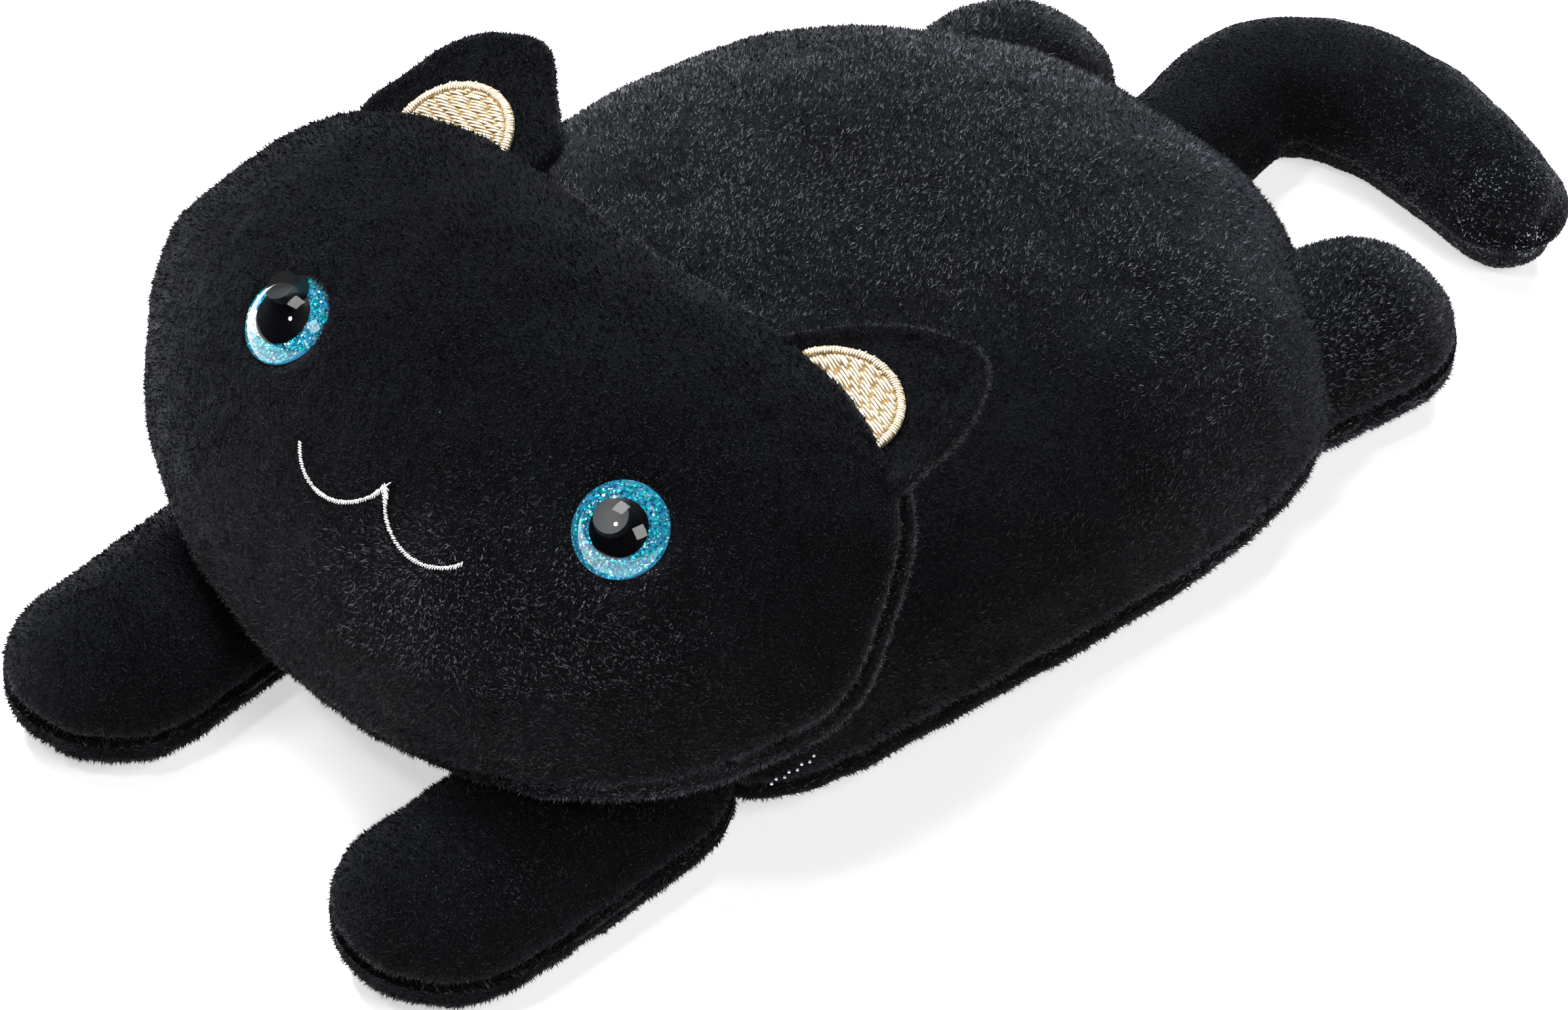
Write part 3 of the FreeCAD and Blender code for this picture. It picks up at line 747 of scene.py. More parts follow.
class Finishes:
    """Every material of the toy, made once."""

    def __init__(self) -> None:
        """Build them all."""
        self.cloth = PlushCloth().build()
        # One near-black fibre in five copies: mid and pale are painted sheen, the palest a painted highlight.
        shades = {"black": "030304", "dark": "090A0B", "mid": "242629", "pale": "4B4D52", "painted_highlight": "A6AAB0"}
        self.fibres = [PlushFibre(f"polyester_fibre_{name}", code).build() for name, code in shades.items()]
        self.cream = Thread("rayon_thread_cream", "E6DCC8", "C4B08C").build()
        # Tan thread for the parting line, also used as the painted shade under the stitches.
        self.tan = Thread("rayon_thread_tan", "8E7448", "5C4828").build()
        self.white = Thread("rayon_thread_white", "E4E4E2", "B9B9BA").build()
        # Pale grey in place of black sewing thread: a painted highlight.
        self.painted_highlight_thread = Thread("hand_sewing_thread", "C9CBD0", "8F9298", rough=0.3).build()
        self.acrylic = ClearAcrylic().build()
        self.pupil = Moulded("black_acrylic_gloss", "020203", 0.3, shine=0.03).build()
        self.stem = Moulded("black_nylon", "0B0B0C", 0.35).build()
        self.washer = Moulded("natural_polyethylene", "D8D7D0", 0.45).build()
        self.film = Foil("glitter_film_blue", "04567A", rough=0.35, metal=0.4).build()
        self.flakes = [Foil(f"glitter_flake_{n}", code, rough=0.18).build() for n, code in enumerate(
            ("04B0CC", "06C4B8", "047090", "F4FFFF", "3CE6D0", "70DCE8"))]


# ---------------------------------------------------------------- the toy

HEAD = Placing((1.0, -58.0, 43.4), (("X", 33.0),))
EYES: Dict[Side, Point] = {Side.LEFT: (32.6, -1.8), Side.RIGHT: (-31.7, -4.4)}


def dress(piece: bpy.types.Object, materials: Sequence[bpy.types.Material]) -> None:
    """Give a piece its materials and log its face count."""
    piece.data.materials.clear()
    for material in materials:
        piece.data.materials.append(material)
    LOG.info("%s: %d faces", piece.name, len(piece.data.polygons))


@dataclass
class Stuffed:
    """A stuffed plush piece: its cloth pillow and the pile on it.

    Attributes:
        name: The piece's name, as the CAD nodes begin.
        nodes: The CAD nodes that it stands for.
        shape: Its pillow.
        placing: Where the pillow's frame lies.
        nap: The way its pile leans.
        seed: Picks every pattern on it.
        fill: How tightly it is stuffed; not used.
        body: The CAD body that it rides on.
        pile: Its fibres.
        painted_light: Painted light and shade for the piece: its share of pale fibres, low where painted as
            shaded, high where lit.
        turns: Spots of painted light and painted shadow, as X, Y, radius and what is added to bright.
        blend: Parent body, child body and two places where the two meet; when given, the piece stays in place
            and is not put on a body.
    """

    name: str
    nodes: Sequence[str]
    shape: Pillow
    placing: Placing
    nap: Tuple[float, float, float]
    seed: int
    fill: float
    body: str
    blend: Optional[Tuple[str, str, Tuple[float, float, float], Tuple[float, float, float]]] = None
    pile: Pile = field(default_factory=Pile)
    painted_light: float = 0.5
    turns: Sequence[Tuple[float, float, float, float]] = ()
    shell: Optional[Shell] = None

    def mould(self, shell: Shell) -> None:
        """Shape the cloth before its seams and lumps go on; plain pieces need nothing."""

    def finish_cloth(self, shell: Shell) -> None:
        """Last shape moves after the seams; plain pieces need nothing."""

    def density(self, places: Array) -> Array:
        """Share of the pile kept: thin where the piece faces the surface it lies on."""
        return np.where(places[:, 2] < 2.0, 0.25, 1.0)

    def tone(self, fibres: bpy.types.Object) -> None:
        """Choose each fibre's shade: painted sheen and shade, set for each piece, in soft random patches and at
        listed spots.

        Args:
            fibres: The pile, one triangle for each fibre.
        """
        count = len(fibres.data.polygons)
        spots = np.empty(count * 9, np.float32)
        fibres.data.vertices.foreach_get("co", spots)
        foot = spots.reshape(count, 9)[:, :3].astype(float) / MM
        # Painted light: each piece's level, soft random patches of painted sheen, then painted light and shadow
        # at listed spots.
        patch = self.painted_light
        for n, (amount, size) in enumerate(((0.24, 15.0), (0.12, 4.5), (0.4, 1.0))):
            patch = patch + amount * noise(foot, size, self.seed + 20 + n)
        for x, y, radius, more in self.turns:
            patch = patch + more * np.exp(-((foot[:, 0] - x) ** 2 + (foot[:, 1] - y) ** 2) / radius**2)
        power = 3.2 - 2.7 * np.clip(patch, -2, 1.05)  # a high power leaves few pale fibres
        paleness = np.random.default_rng(self.seed).random(count) ** power
        steps = np.searchsorted(SHADE_STEPS, paleness)
        fibres.data.polygons.foreach_set("material_index", steps.astype(np.int32))

    def build(self, finishes: Finishes) -> bpy.types.Object:
        """Make the cloth and its pile; put both on their body, or leave them in place when the piece has a
        blend.
        """
        shell = Shell(self.shape, self.placing)
        self.mould(shell)
        shell.dress(self.seed)
        self.finish_cloth(shell)
        shell.verts[:, 2] = np.maximum(shell.verts[:, 2], FLOOR_GAP)
        self.shell = shell
        cloth = shell.piece(f"{self.name}_plush")
        dress(cloth, [finishes.cloth])
        fibres = self.pile.grow(f"{self.name}_pile", shell, self.nap, self.seed, self.density)
        dress(fibres, finishes.fibres)
        self.tone(fibres)
        for piece in (cloth, fibres):
            if self.blend:
                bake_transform(piece)
            else:
                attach(piece, self.body)
        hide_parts(*self.nodes)
        return cloth


def panels(name: str, upper: str = "top", lower: str = "bottom") -> List[str]:
    """The CAD nodes of one stuffed piece."""
    return [f"{name}_{upper}_panel", f"{name}_{lower}_panel", f"{name}_filling"]


def mirrored(half: Sequence[Point]) -> List[Point]:
    """A whole outline, anticlockwise, from its right-hand half listed from the front to the back."""
    return list(half) + [(-x, y) for x, y in reversed(half) if x > 0]


def capsule(a: Point, b: Point, ra: float, rb: float, step: int = 14) -> List[Point]:
    """An outline round two circles, anticlockwise."""
    heading = math.atan2(b[1] - a[1], b[0] - a[0])
    spots = []
    for (x, y), r, start in ((b, rb, heading - math.pi / 2), (a, ra, heading + math.pi / 2)):
        for k in range(step + 1):
            t = start + math.pi * k / step
            spots.append((x + r * math.cos(t), y + r * math.sin(t)))
    return spots


@dataclass
class Body(Stuffed):
    """The flat body, pressed down at the front by the head.

    Attributes:
        press_tilt: Slope of the pressed cloth, in degrees, as the head lies.
        press_depth: How far under the head's seam plane the cloth is pressed, in mm.
        press_floor: The lowest that it is pressed.
        press_soft: How gently the slope runs into the back.
    """

    press_tilt: float = 33.0
    press_depth: float = 10.7
    press_floor: float = 16.0
    press_soft: float = 3.0

    def mould(self, shell: Shell) -> None:
        """Let the back slope down under the head."""
        v = shell.verts
        tilt = math.radians(self.press_tilt)
        slope = HEAD.origin[2] + (v[:, 1] - HEAD.origin[1]) * math.tan(tilt)
        slope = slope - self.press_depth / math.cos(tilt)
        slope = np.maximum(slope, self.press_floor)
        share = np.clip(0.5 + (slope - v[:, 2]) / (2 * self.press_soft), 0, 1)
        low = v[:, 2] * share + slope * (1 - share) - self.press_soft * share * (1 - share)
        v[:, 2] = np.where(shell.side > 0, np.minimum(v[:, 2], low), v[:, 2])


@dataclass
class Head(Stuffed):
    """The head pillow, with a shallow seat of seat_depth and seat_radius mm pressed in under each eye."""

    seat_depth: float = 1.2
    seat_radius: float = 6.8

    def finish_cloth(self, shell: Shell) -> None:
        """Press the eyes' seats in."""
        flat = (shell.verts - np.array(HEAD.origin)) @ HEAD.matrix()
        sunk = np.zeros(len(flat))
        for side in Side:
            away = np.hypot(flat[:, 0] - EYES[side][0], flat[:, 1] - EYES[side][1])
            sunk -= self.seat_depth * np.exp(-(away / self.seat_radius) ** 6) * (shell.side > 0)
        shell.push(sunk)


def head_piece() -> Head:
    """The head's sizes."""
    half = [(0, -44.8), (16, -43.4), (31, -39.3), (44, -33), (54.8, -24.6), (63.2, -13.6), (68.6, -2.6),
            (65.9, 8.2), (61, 19.6), (52.4, 28), (38.5, 33), (22, 34.6), (0, 33.8)]
    # Painted light on the lower face and cheeks and painted shade on the crown, as X, Y, radius and amount; the
    # whole head is also painted darker, as in shade.
    turns = ((40, -86, 32, 1.5), (0, -98, 26, 1.0), (-46, -80, 24, 0.7), (-6, -42, 28, -1.2))
    shape = Pillow(mirrored(half), (0, -3), over=20.5, under=9.6, over_power=0.6, under_flat=3.6,
                   around=400, rings=64)
    return Head("head", panels("head", "face", "back"), shape, HEAD, (0.0, -0.5, -0.4), 11, 0.8, "head",
                painted_light=-0.3, turns=turns)


def body_piece() -> Body:
    """The body's sizes, with Y measured from its front edge."""
    half = [(0, 0), (16, -0.2), (32, 1), (46, 5), (53.8, 15), (56.6, 30), (59.4, 48), (61.9, 66), (63.3, 84),
            (63, 98), (60.2, 112), (52, 125), (41, 134.5), (26, 143.5), (12, 147), (0, 147.6)]
    far = {15: -1.5, 30: -2.2, 48: -2.8, 66: -3.4, 84: -2.6, 98: -1.2}
    edge = [(x + (far.get(y, 0.0) if x < 0 else 0.0), y) for x, y in mirrored(half)]
    shape = Pillow(edge, (0, 78), over=30.0, under=9.2, seam=9.6, over_power=0.43, under_flat=2.6,
                   around=420, rings=66)
    # Painted light: the body painted as lit with sheen, with a painted shadow of the head and left ear at its
    # front left.
    return Body("body", panels("body"), shape, Placing((0.0, -66.7, 0.0)), (0.1, 0.7, 0.0), 23, 0.65, "torso",
                painted_light=1.05, turns=((48, -16, 24, -2.4),))


def leg_pieces() -> List[Stuffed]:
    """The four legs' sizes: long front ones, stub hind ones."""
    made = []
    for side in Side:
        x = 34.3 if side is Side.LEFT else -34.5
        reach = -28.2 if side is Side.LEFT else -28.8
        shape = Pillow(capsule((0, 4), (0, reach), 16.4, 16.8), (0, -12), over=11.5, under=7.6, seam=7.6,
                       under_flat=2.6, spine=((0, 4), (0, reach)), half=(16.4, 16.8), around=200, rings=30)
        placing = Placing((x, -74.4, 0.0), (("Z", -1.5 * side.value),))
        name = f"front_leg_{side.word}"
        # Painted light: the left front leg partly lit, the right one painted darker as in the head's shadow.
        made.append(Stuffed(name, panels(name), shape, placing, (0.0, -0.8, -0.1), 31 + side.value, 0.8, name,
                            ("torso", name, (x, -64.0, 10.0), (x, -78.0, 10.0)),
                            painted_light=0.4 if side is Side.LEFT else -0.8))
    for side, x, y, splay in ((Side.LEFT, 40.0, 56.8, 14.0), (Side.RIGHT, -29.2, 61.0, 3.0)):
        shape = Pillow(capsule((0, -6), (0, 14.5), 17.0, 16.3), (0, 5), over=13.6, under=7.6, seam=8.0,
                       under_flat=2.6, spine=((0, -6), (0, 14.5)), half=(17.0, 16.3), around=180, rings=30)
        placing = Placing((x, y, 0.0), (("Z", -splay * side.value),))
        name = f"hind_leg_{side.word}"
        far = placing.apply([(0, 12, 10.0)])[0]
        # Painted light: both hind legs painted as lit with sheen.
        made.append(Stuffed(name, panels(name), shape, placing, (0.0, 0.8, -0.1), 41 + side.value, 0.75, name,
                            ("torso", name, (x, y, 10.0), tuple(far)),
                            painted_light=1.0 if side is Side.LEFT else 0.8))
    return made


def tail_piece() -> Stuffed:
    """The tail's sizes, with its line in the row frame."""
    line = [(-0.8, 71.0), (-1.0, 79.0), (-1.6, 87.0), (-3.0, 95.0), (-1.6, 102.5), (5.5, 108.6),
            (16.0, 111.4), (27.5, 110.9), (38.8, 108.7), (49.0, 104.8)]
    half = [10.0, 9.9, 9.8, 9.8, 9.8, 9.9, 9.8, 9.5, 8.6, 6.6]
    over = [9.5, 9.8, 10.0, 10.0, 10.2, 10.4, 10.2, 9.6, 8.6, 7.2]
    shape = Tube(line, half, over, under=8.0, seam=8.6)
    # Painted light: the tail painted as partly lit.
    return Stuffed("tail", panels("tail"), shape, Placing(), (0.6, 0.3, -0.1), 53, 0.8, "tail",
                   ("torso", "tail", (-3.5, 76.0, 9.0), (-4.5, 86.0, 9.0)), painted_light=0.2)


@dataclass
class Ear:
    """One ear: a thin padded flap with an embroidered patch at its foot.

    Attributes:
        side: Which ear.
        foot: Where its middle leaves the head's seam, in the head's frame.
        lean: How far it lies back, in degrees from the head's seam plane.
        splay: How far its base turns with the head's outline, in degrees.
        flap: Its edge above the seam, anticlockwise, in its own frame: X along the base, Y up it.
        patch_shift: How far the embroidery sits toward the cat's left of the ear's middle.
    """

    side: Side
    foot: Point
    lean: float
    splay: float
    flap: Sequence[Point]
    patch_shift: float = 0.0

    @property
    def placing(self) -> Placing:
        """Where the ear's own frame lies, with Z out of its front."""
        spot = Placing((*self.foot, 0.5), (("Z", -self.side.value * self.splay), ("X", -self.lean)))
        return spot.inside(HEAD)

    def outline(self) -> List[Point]:
        """The whole flap's edge, with the part that is sewn into the head's seam."""
        return [(16.5, -4.5)] + list(self.flap) + [(-14.5, -4.5), (-7.0, -6.5), (0.0, -7.0), (8.0, -6.5)]

    def cup(self, points: Array) -> Array:
        """Curl the flap's edges and its tip forward."""
        bent = points.copy()
        bent[:, 2] += 0.009 * points[:, 0] ** 2 - 1.0 + 0.004 * np.maximum(points[:, 1] - 6, 0) ** 2
        return bent

    def build(self, finishes: Finishes) -> None:
        """Make the flap, its pile and the embroidery."""
        name = f"ear_{self.side.word}"
        shape = Pillow(self.outline(), (0.5, 7), over=2.7, under=2.6, over_power=0.42, under_flat=2.6,
                       around=170, rings=26, soften=1.2)
        # Painted light: the ear's pile painted as partly lit.
        flap = EarFlap(name, [f"{name}_front_panel", f"{name}_back_panel"], shape, self.placing,
                       (0.0, 0.5, 0.5), 61 + self.side.value, 0.35, name,
                       blend_ends(self.placing, name), pile=Pile(length=0.9), painted_light=0.25, ear=self)
        flap.build(finishes)
        Patch(self, flap).build(finishes)


def ears() -> List[Ear]:
    """Both ears as they stand: the left one lies back, the right one stands up more."""
    left = [(18.2, 0.0), (16.4, 5.0), (14.4, 10.0), (12.5, 13.9), (9.6, 17.4), (6.6, 20.5), (3.4, 22.4),
            (0.0, 22.5), (-3.8, 20.4), (-7.1, 17.5), (-9.1, 14.6), (-11.2, 10.3), (-13.0, 6.0), (-14.2, 0.8)]
    right = [(20.0, 1.6), (16.8, 6.2), (13.0, 11.4), (9.4, 16.8), (6.8, 18.8), (2.4, 19.5), (-3.3, 18.3),
             (-6.9, 16.2), (-9.6, 13.0), (-13.1, 6.4), (-15.9, 0.5)]
    return [Ear(Side.LEFT, (39.8, 30.3), 28.0, 18.5, left),
            Ear(Side.RIGHT, (-39.0, 31.0), 10.0, 15.0, right, patch_shift=1.3)]


def blend_ends(placing: Placing, child: str) -> Tuple[str, str, Tuple[float, ...], Tuple[float, ...]]:
    """The head, the ear's body and two places on the ear's middle, just above the head's edge."""
    low, high = placing.apply([(0, -4, 0), (0, 3, 0)])
    return ("head", child, tuple(low), tuple(high))


@dataclass
class EarFlap(Stuffed):
    """The flap's cloth, kept clear of pile under the patch."""

    ear: Optional["Ear"] = None

    def mould(self, shell: Shell) -> None:
        """Curl the flap."""
        local = (shell.verts - np.array(self.placing.origin)) @ self.placing.matrix()
        shell.verts = self.placing.apply(self.ear.cup(local))

    def density(self, places: Array) -> Array:
        """No pile under the embroidery."""
        local = (places - np.array(self.placing.origin)) @ self.placing.matrix()
        away = np.hypot(local[:, 0] - self.ear.patch_shift, local[:, 1] - PATCH_FOOT)
        covered = (away < PATCH_ROUND - 0.3) & (local[:, 1] > PATCH_FOOT - 0.5) & (local[:, 2] > 0)
        return np.where(covered, 0.0, 1.0)


def stitch_mesh(runs: Sequence[Tuple[Array, Array, float]], lift: Array,
                sides: int = 6) -> Tuple[Array, Array]:
    """Closed thread lengths.

    Args:
        runs: Start, end and thickness of each stitch, in mm.
        lift: The way that every stitch arches.
        sides: Faces round a thread.

    Returns:
        Places and triangles.
    """
    stations = np.array((0.0, 0.12, 0.5, 0.88, 1.0))
    girth = np.array((0.3, 0.85, 1.0, 0.85, 0.3))
    verts, faces = [], []
    for start, end, thick in runs:
        way = unit((end - start)[None, :])[0]
        side = unit(np.cross(way, lift)[None, :])[0]
        up = np.cross(side, way)
        base = len(verts)
        for s, g in zip(stations, girth):
            spot = start + (end - start) * s + lift * thick * 0.5 * math.sin(math.pi * s)
            for k in range(sides):
                t = 2 * math.pi * k / sides
                verts.append(spot + (side * math.cos(t) + up * math.sin(t) * 0.8) * thick / 2 * g)
        for ring in range(len(stations) - 1):
            for k in range(sides):
                a, b = base + ring * sides + k, base + ring * sides + (k + 1) % sides
                faces += [(a, b, b + sides), (a, b + sides, a + sides)]
        last = base + (len(stations) - 1) * sides
        for k in range(1, sides - 1):
            faces += [(base, base + k + 1, base + k), (last, last + k, last + k + 1)]
    return np.array(verts), np.array(faces)


@dataclass
class Patch:
    """An ear's embroidery: rows of filling stitches, a satin border and a darker line between them."""

    ear: Ear
    flap: EarFlap
    border: float = 1.2
    pitch: float = 0.42
    stand: float = 0.75
    known: Dict[Point, Array] = field(default_factory=dict)

    def at(self, x: float, y: float) -> Array:
        """A place on the ear's front cloth, in the ear's frame."""
        key = (round(x, 2), round(y, 2))
        if key not in self.known:
            placing = self.ear.placing
            x = x + self.ear.patch_shift
            spot = self.flap.shell.over(placing, x, max(y, PATCH_FOOT))
            local = (spot - np.array(placing.origin)) @ placing.matrix()
            self.known[key] = np.array((x, y, local[2] + self.stand))
        return self.known[key]

    def build(self, finishes: Finishes) -> None:
        """Make the three groups of stitches as pieces that ride on the ear."""
        rng = np.random.default_rng(71 + self.ear.side.value)
        groups = {"border": self.border_runs(rng), "fill": self.fill_runs(rng), "line": self.line_runs(rng)}
        looks = {"border": finishes.cream, "fill": finishes.cream, "line": finishes.tan}
        word = self.ear.side.word
        for part, runs in groups.items():
            verts, faces = stitch_mesh(runs, np.array((0.0, 0.0, 1.0)))
            piece = mesh_object(f"ear_{word}_{part}_stitches", self.ear.placing.apply(verts), faces)
            dress(piece, [looks[part]])
            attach(piece, f"ear_{word}")
            if part == "fill":
                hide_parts(f"ear_{word}_embroidery")
        # Painted shade: a tan sheet under the stitches stands for the shade in their gaps.
        painted_shade_sheet = self.painted_shade_sheet()
        dress(painted_shade_sheet, [finishes.tan])
        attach(painted_shade_sheet, f"ear_{word}")

    def painted_shade_sheet(self) -> bpy.types.Object:
        """A tan sheet under the stitches: painted shade that shows in the gaps between them."""
        around = [(PATCH_ROUND * math.cos(t), PATCH_FOOT + PATCH_ROUND * math.sin(t))
                  for t in np.linspace(0.02, math.pi - 0.02, 40)]
        rings = 8
        verts, faces = [], []
        for level in (0.0, -0.6):
            for k in range(rings + 1):
                for x, y in around:
                    share = 1 - k / (rings + 0.02)
                    spot = self.at(x * share, PATCH_FOOT + (y - PATCH_FOOT) * share)
                    verts.append(spot + np.array((0, 0, level)))
        n, half = len(around), (rings + 1) * len(around)
        for k in range(rings):
            for i in range(n - 1):
                a = k * n + i
                faces.append((a, a + 1, a + n + 1, a + n))
                faces.append((half + a + n, half + a + n + 1, half + a + 1, half + a))
        for i in range(n - 1):
            faces.append((i + 1, i, half + i, half + i + 1))
            a = rings * n + i
            faces.append((a, a + 1, half + a + 1, half + a))
        for k in range(rings):
            for i, flip in ((0, False), (n - 1, True)):
                a, b = k * n + i, (k + 1) * n + i
                quad = (a, b, half + b, half + a)
                faces.append(quad[::-1] if flip else quad)
        return mesh_object(f"ear_{self.ear.side.word}_underlay", self.ear.placing.apply(np.array(verts)),
                           np.array(faces))

    def border_runs(self, rng: np.random.Generator) -> List[Tuple[Array, Array, float]]:
        """Satin stitches side by side across the curved edge."""
        runs = []
        for t in np.arange(0.03, math.pi - 0.03, self.pitch * 1.08 / PATCH_ROUND):
            outer = PATCH_ROUND + rng.normal() * 0.12
            inner = PATCH_ROUND - self.border + rng.normal() * 0.05
            a = self.at(outer * math.cos(t), PATCH_FOOT + outer * math.sin(t))
            b = self.at(inner * math.cos(t + 0.02), PATCH_FOOT + inner * math.sin(t + 0.02))
            runs.append((a, b + (0, 0, 0.12), self.pitch * 0.9))
        return runs

    def fill_runs(self, rng: np.random.Generator) -> List[Tuple[Array, Array, float]]:
        """Rows of staggered filling stitches that run along the straight edge."""
        runs = []
        reach = PATCH_ROUND - self.border - 0.25
        for row, y in enumerate(np.arange(0.15, reach - 0.1, self.pitch * 1.1)):
            half = math.sqrt(reach**2 - y**2)
            x = -half - (row % 3) * 0.9 * rng.uniform(0.7, 1.2)
            while x < half:
                end = x + rng.uniform(2.3, 3.2)
                a, b = max(x, -half), min(end, half)
                if b - a > 0.5:
                    runs.append((self.at(a, PATCH_FOOT + y), self.at(b, PATCH_FOOT + y + rng.normal() * 0.05),
                                 self.pitch * rng.uniform(0.82, 0.95)))
                x = end + rng.uniform(0.2, 0.5)
        return runs

    def line_runs(self, rng: np.random.Generator) -> List[Tuple[Array, Array, float]]:
        """A running stitch that parts the filling from the border."""
        radius = PATCH_ROUND - self.border - 0.12
        runs = []
        for t in np.arange(0.05, math.pi - 0.08, 1.5 / radius):
            spots = [self.at(radius * math.cos(u), PATCH_FOOT + radius * math.sin(u))
                     for u in (t, t + 1.1 / radius)]
            runs.append((spots[0], spots[1], 0.22))
        return runs


@dataclass
class Mouth:
    """The mouth: a line of satin stitches in two bows that meet in a cusp."""

    head: Head
    bow_x: float = 9.0
    bow_y: float = -12.05
    bow: float = 9.6
    start: float = 201.0
    end: float = 327.6
    pitch: float = 0.4
    wide: float = 0.6

    def path(self) -> Array:
        """Places along both bows, in the seam plane."""
        t = np.radians(np.linspace(self.start, self.end, 90))
        right = np.column_stack([self.bow_x + self.bow * np.cos(t), self.bow_y + self.bow * np.sin(t)])
        left = right[::-1] * (-1, 1)
        return closed_line(np.vstack([left, right]), self.pitch)

    def build(self, finishes: Finishes) -> None:
        """Lay the stitches on the cloth."""
        rng = np.random.default_rng(83)
        line = self.path()
        step = unit(np.gradient(line, axis=0))
        runs = []
        up = HEAD.matrix() @ np.array((0.0, 0.0, 1.0))
        for k, (spot, way) in enumerate(zip(line, step)):
            if rng.random() > 0.3 + min(k, len(line) - 1 - k) * self.pitch / 2.5:
                continue
            cusp = math.exp(-(spot[0] / 1.0) ** 2)
            wide = self.wide * (1 + 0.9 * cusp) * rng.uniform(0.7, 1.15)
            across = np.array((-way[1], way[0])) + way * rng.uniform(0.6, 1.1)
            ends = [spot + across * wide / 2 * s for s in (-1, 1)]
            lifted = [self.head.shell.over(HEAD, *e) + up * 0.72 for e in ends]
            runs.append((lifted[0], lifted[1], 0.27 * rng.uniform(0.8, 1.15)))
        verts, faces = stitch_mesh(runs, up)
        piece = mesh_object("mouth_stitches", verts, faces)
        dress(piece, [finishes.white])
        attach(piece, "head")
        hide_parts("mouth_embroidery")


def closed_line(points: Array, pitch: float) -> Array:
    """Places at an even pitch along a polyline."""
    walked = np.concatenate([[0], np.cumsum(np.linalg.norm(np.diff(points, axis=0), axis=1))])
    even = np.arange(0, walked[-1], pitch)
    return np.column_stack([np.interp(even, walked, points[:, k]) for k in (0, 1)])


def lathe(name: str, profile: Sequence[Point], placing: Placing, around: int = 96) -> bpy.types.Object:
    """Turn a closed profile of (radius, height) about the frame's Z axis; a zero radius closes the form."""
    verts, faces, rings = [], [], []
    for r, z in profile:
        if r < 1e-6:
            rings.append([len(verts)] * around)
            verts.append((0.0, 0.0, z))
        else:
            rings.append(list(range(len(verts), len(verts) + around)))
            verts += [(r * math.cos(2 * math.pi * k / around), r * math.sin(2 * math.pi * k / around), z)
                      for k in range(around)]
    for low, high in zip(rings[:-1], rings[1:]):
        for k in range(around):
            j = (k + 1) % around
            corners = [low[k], low[j], high[j], high[k]]
            kept = [c for n, c in enumerate(corners) if c != corners[n - 1]]
            faces += [(kept[0], kept[n], kept[n + 1]) for n in range(1, len(kept) - 1)]
    return mesh_object(name, placing.apply(np.array(verts)), np.array(faces))


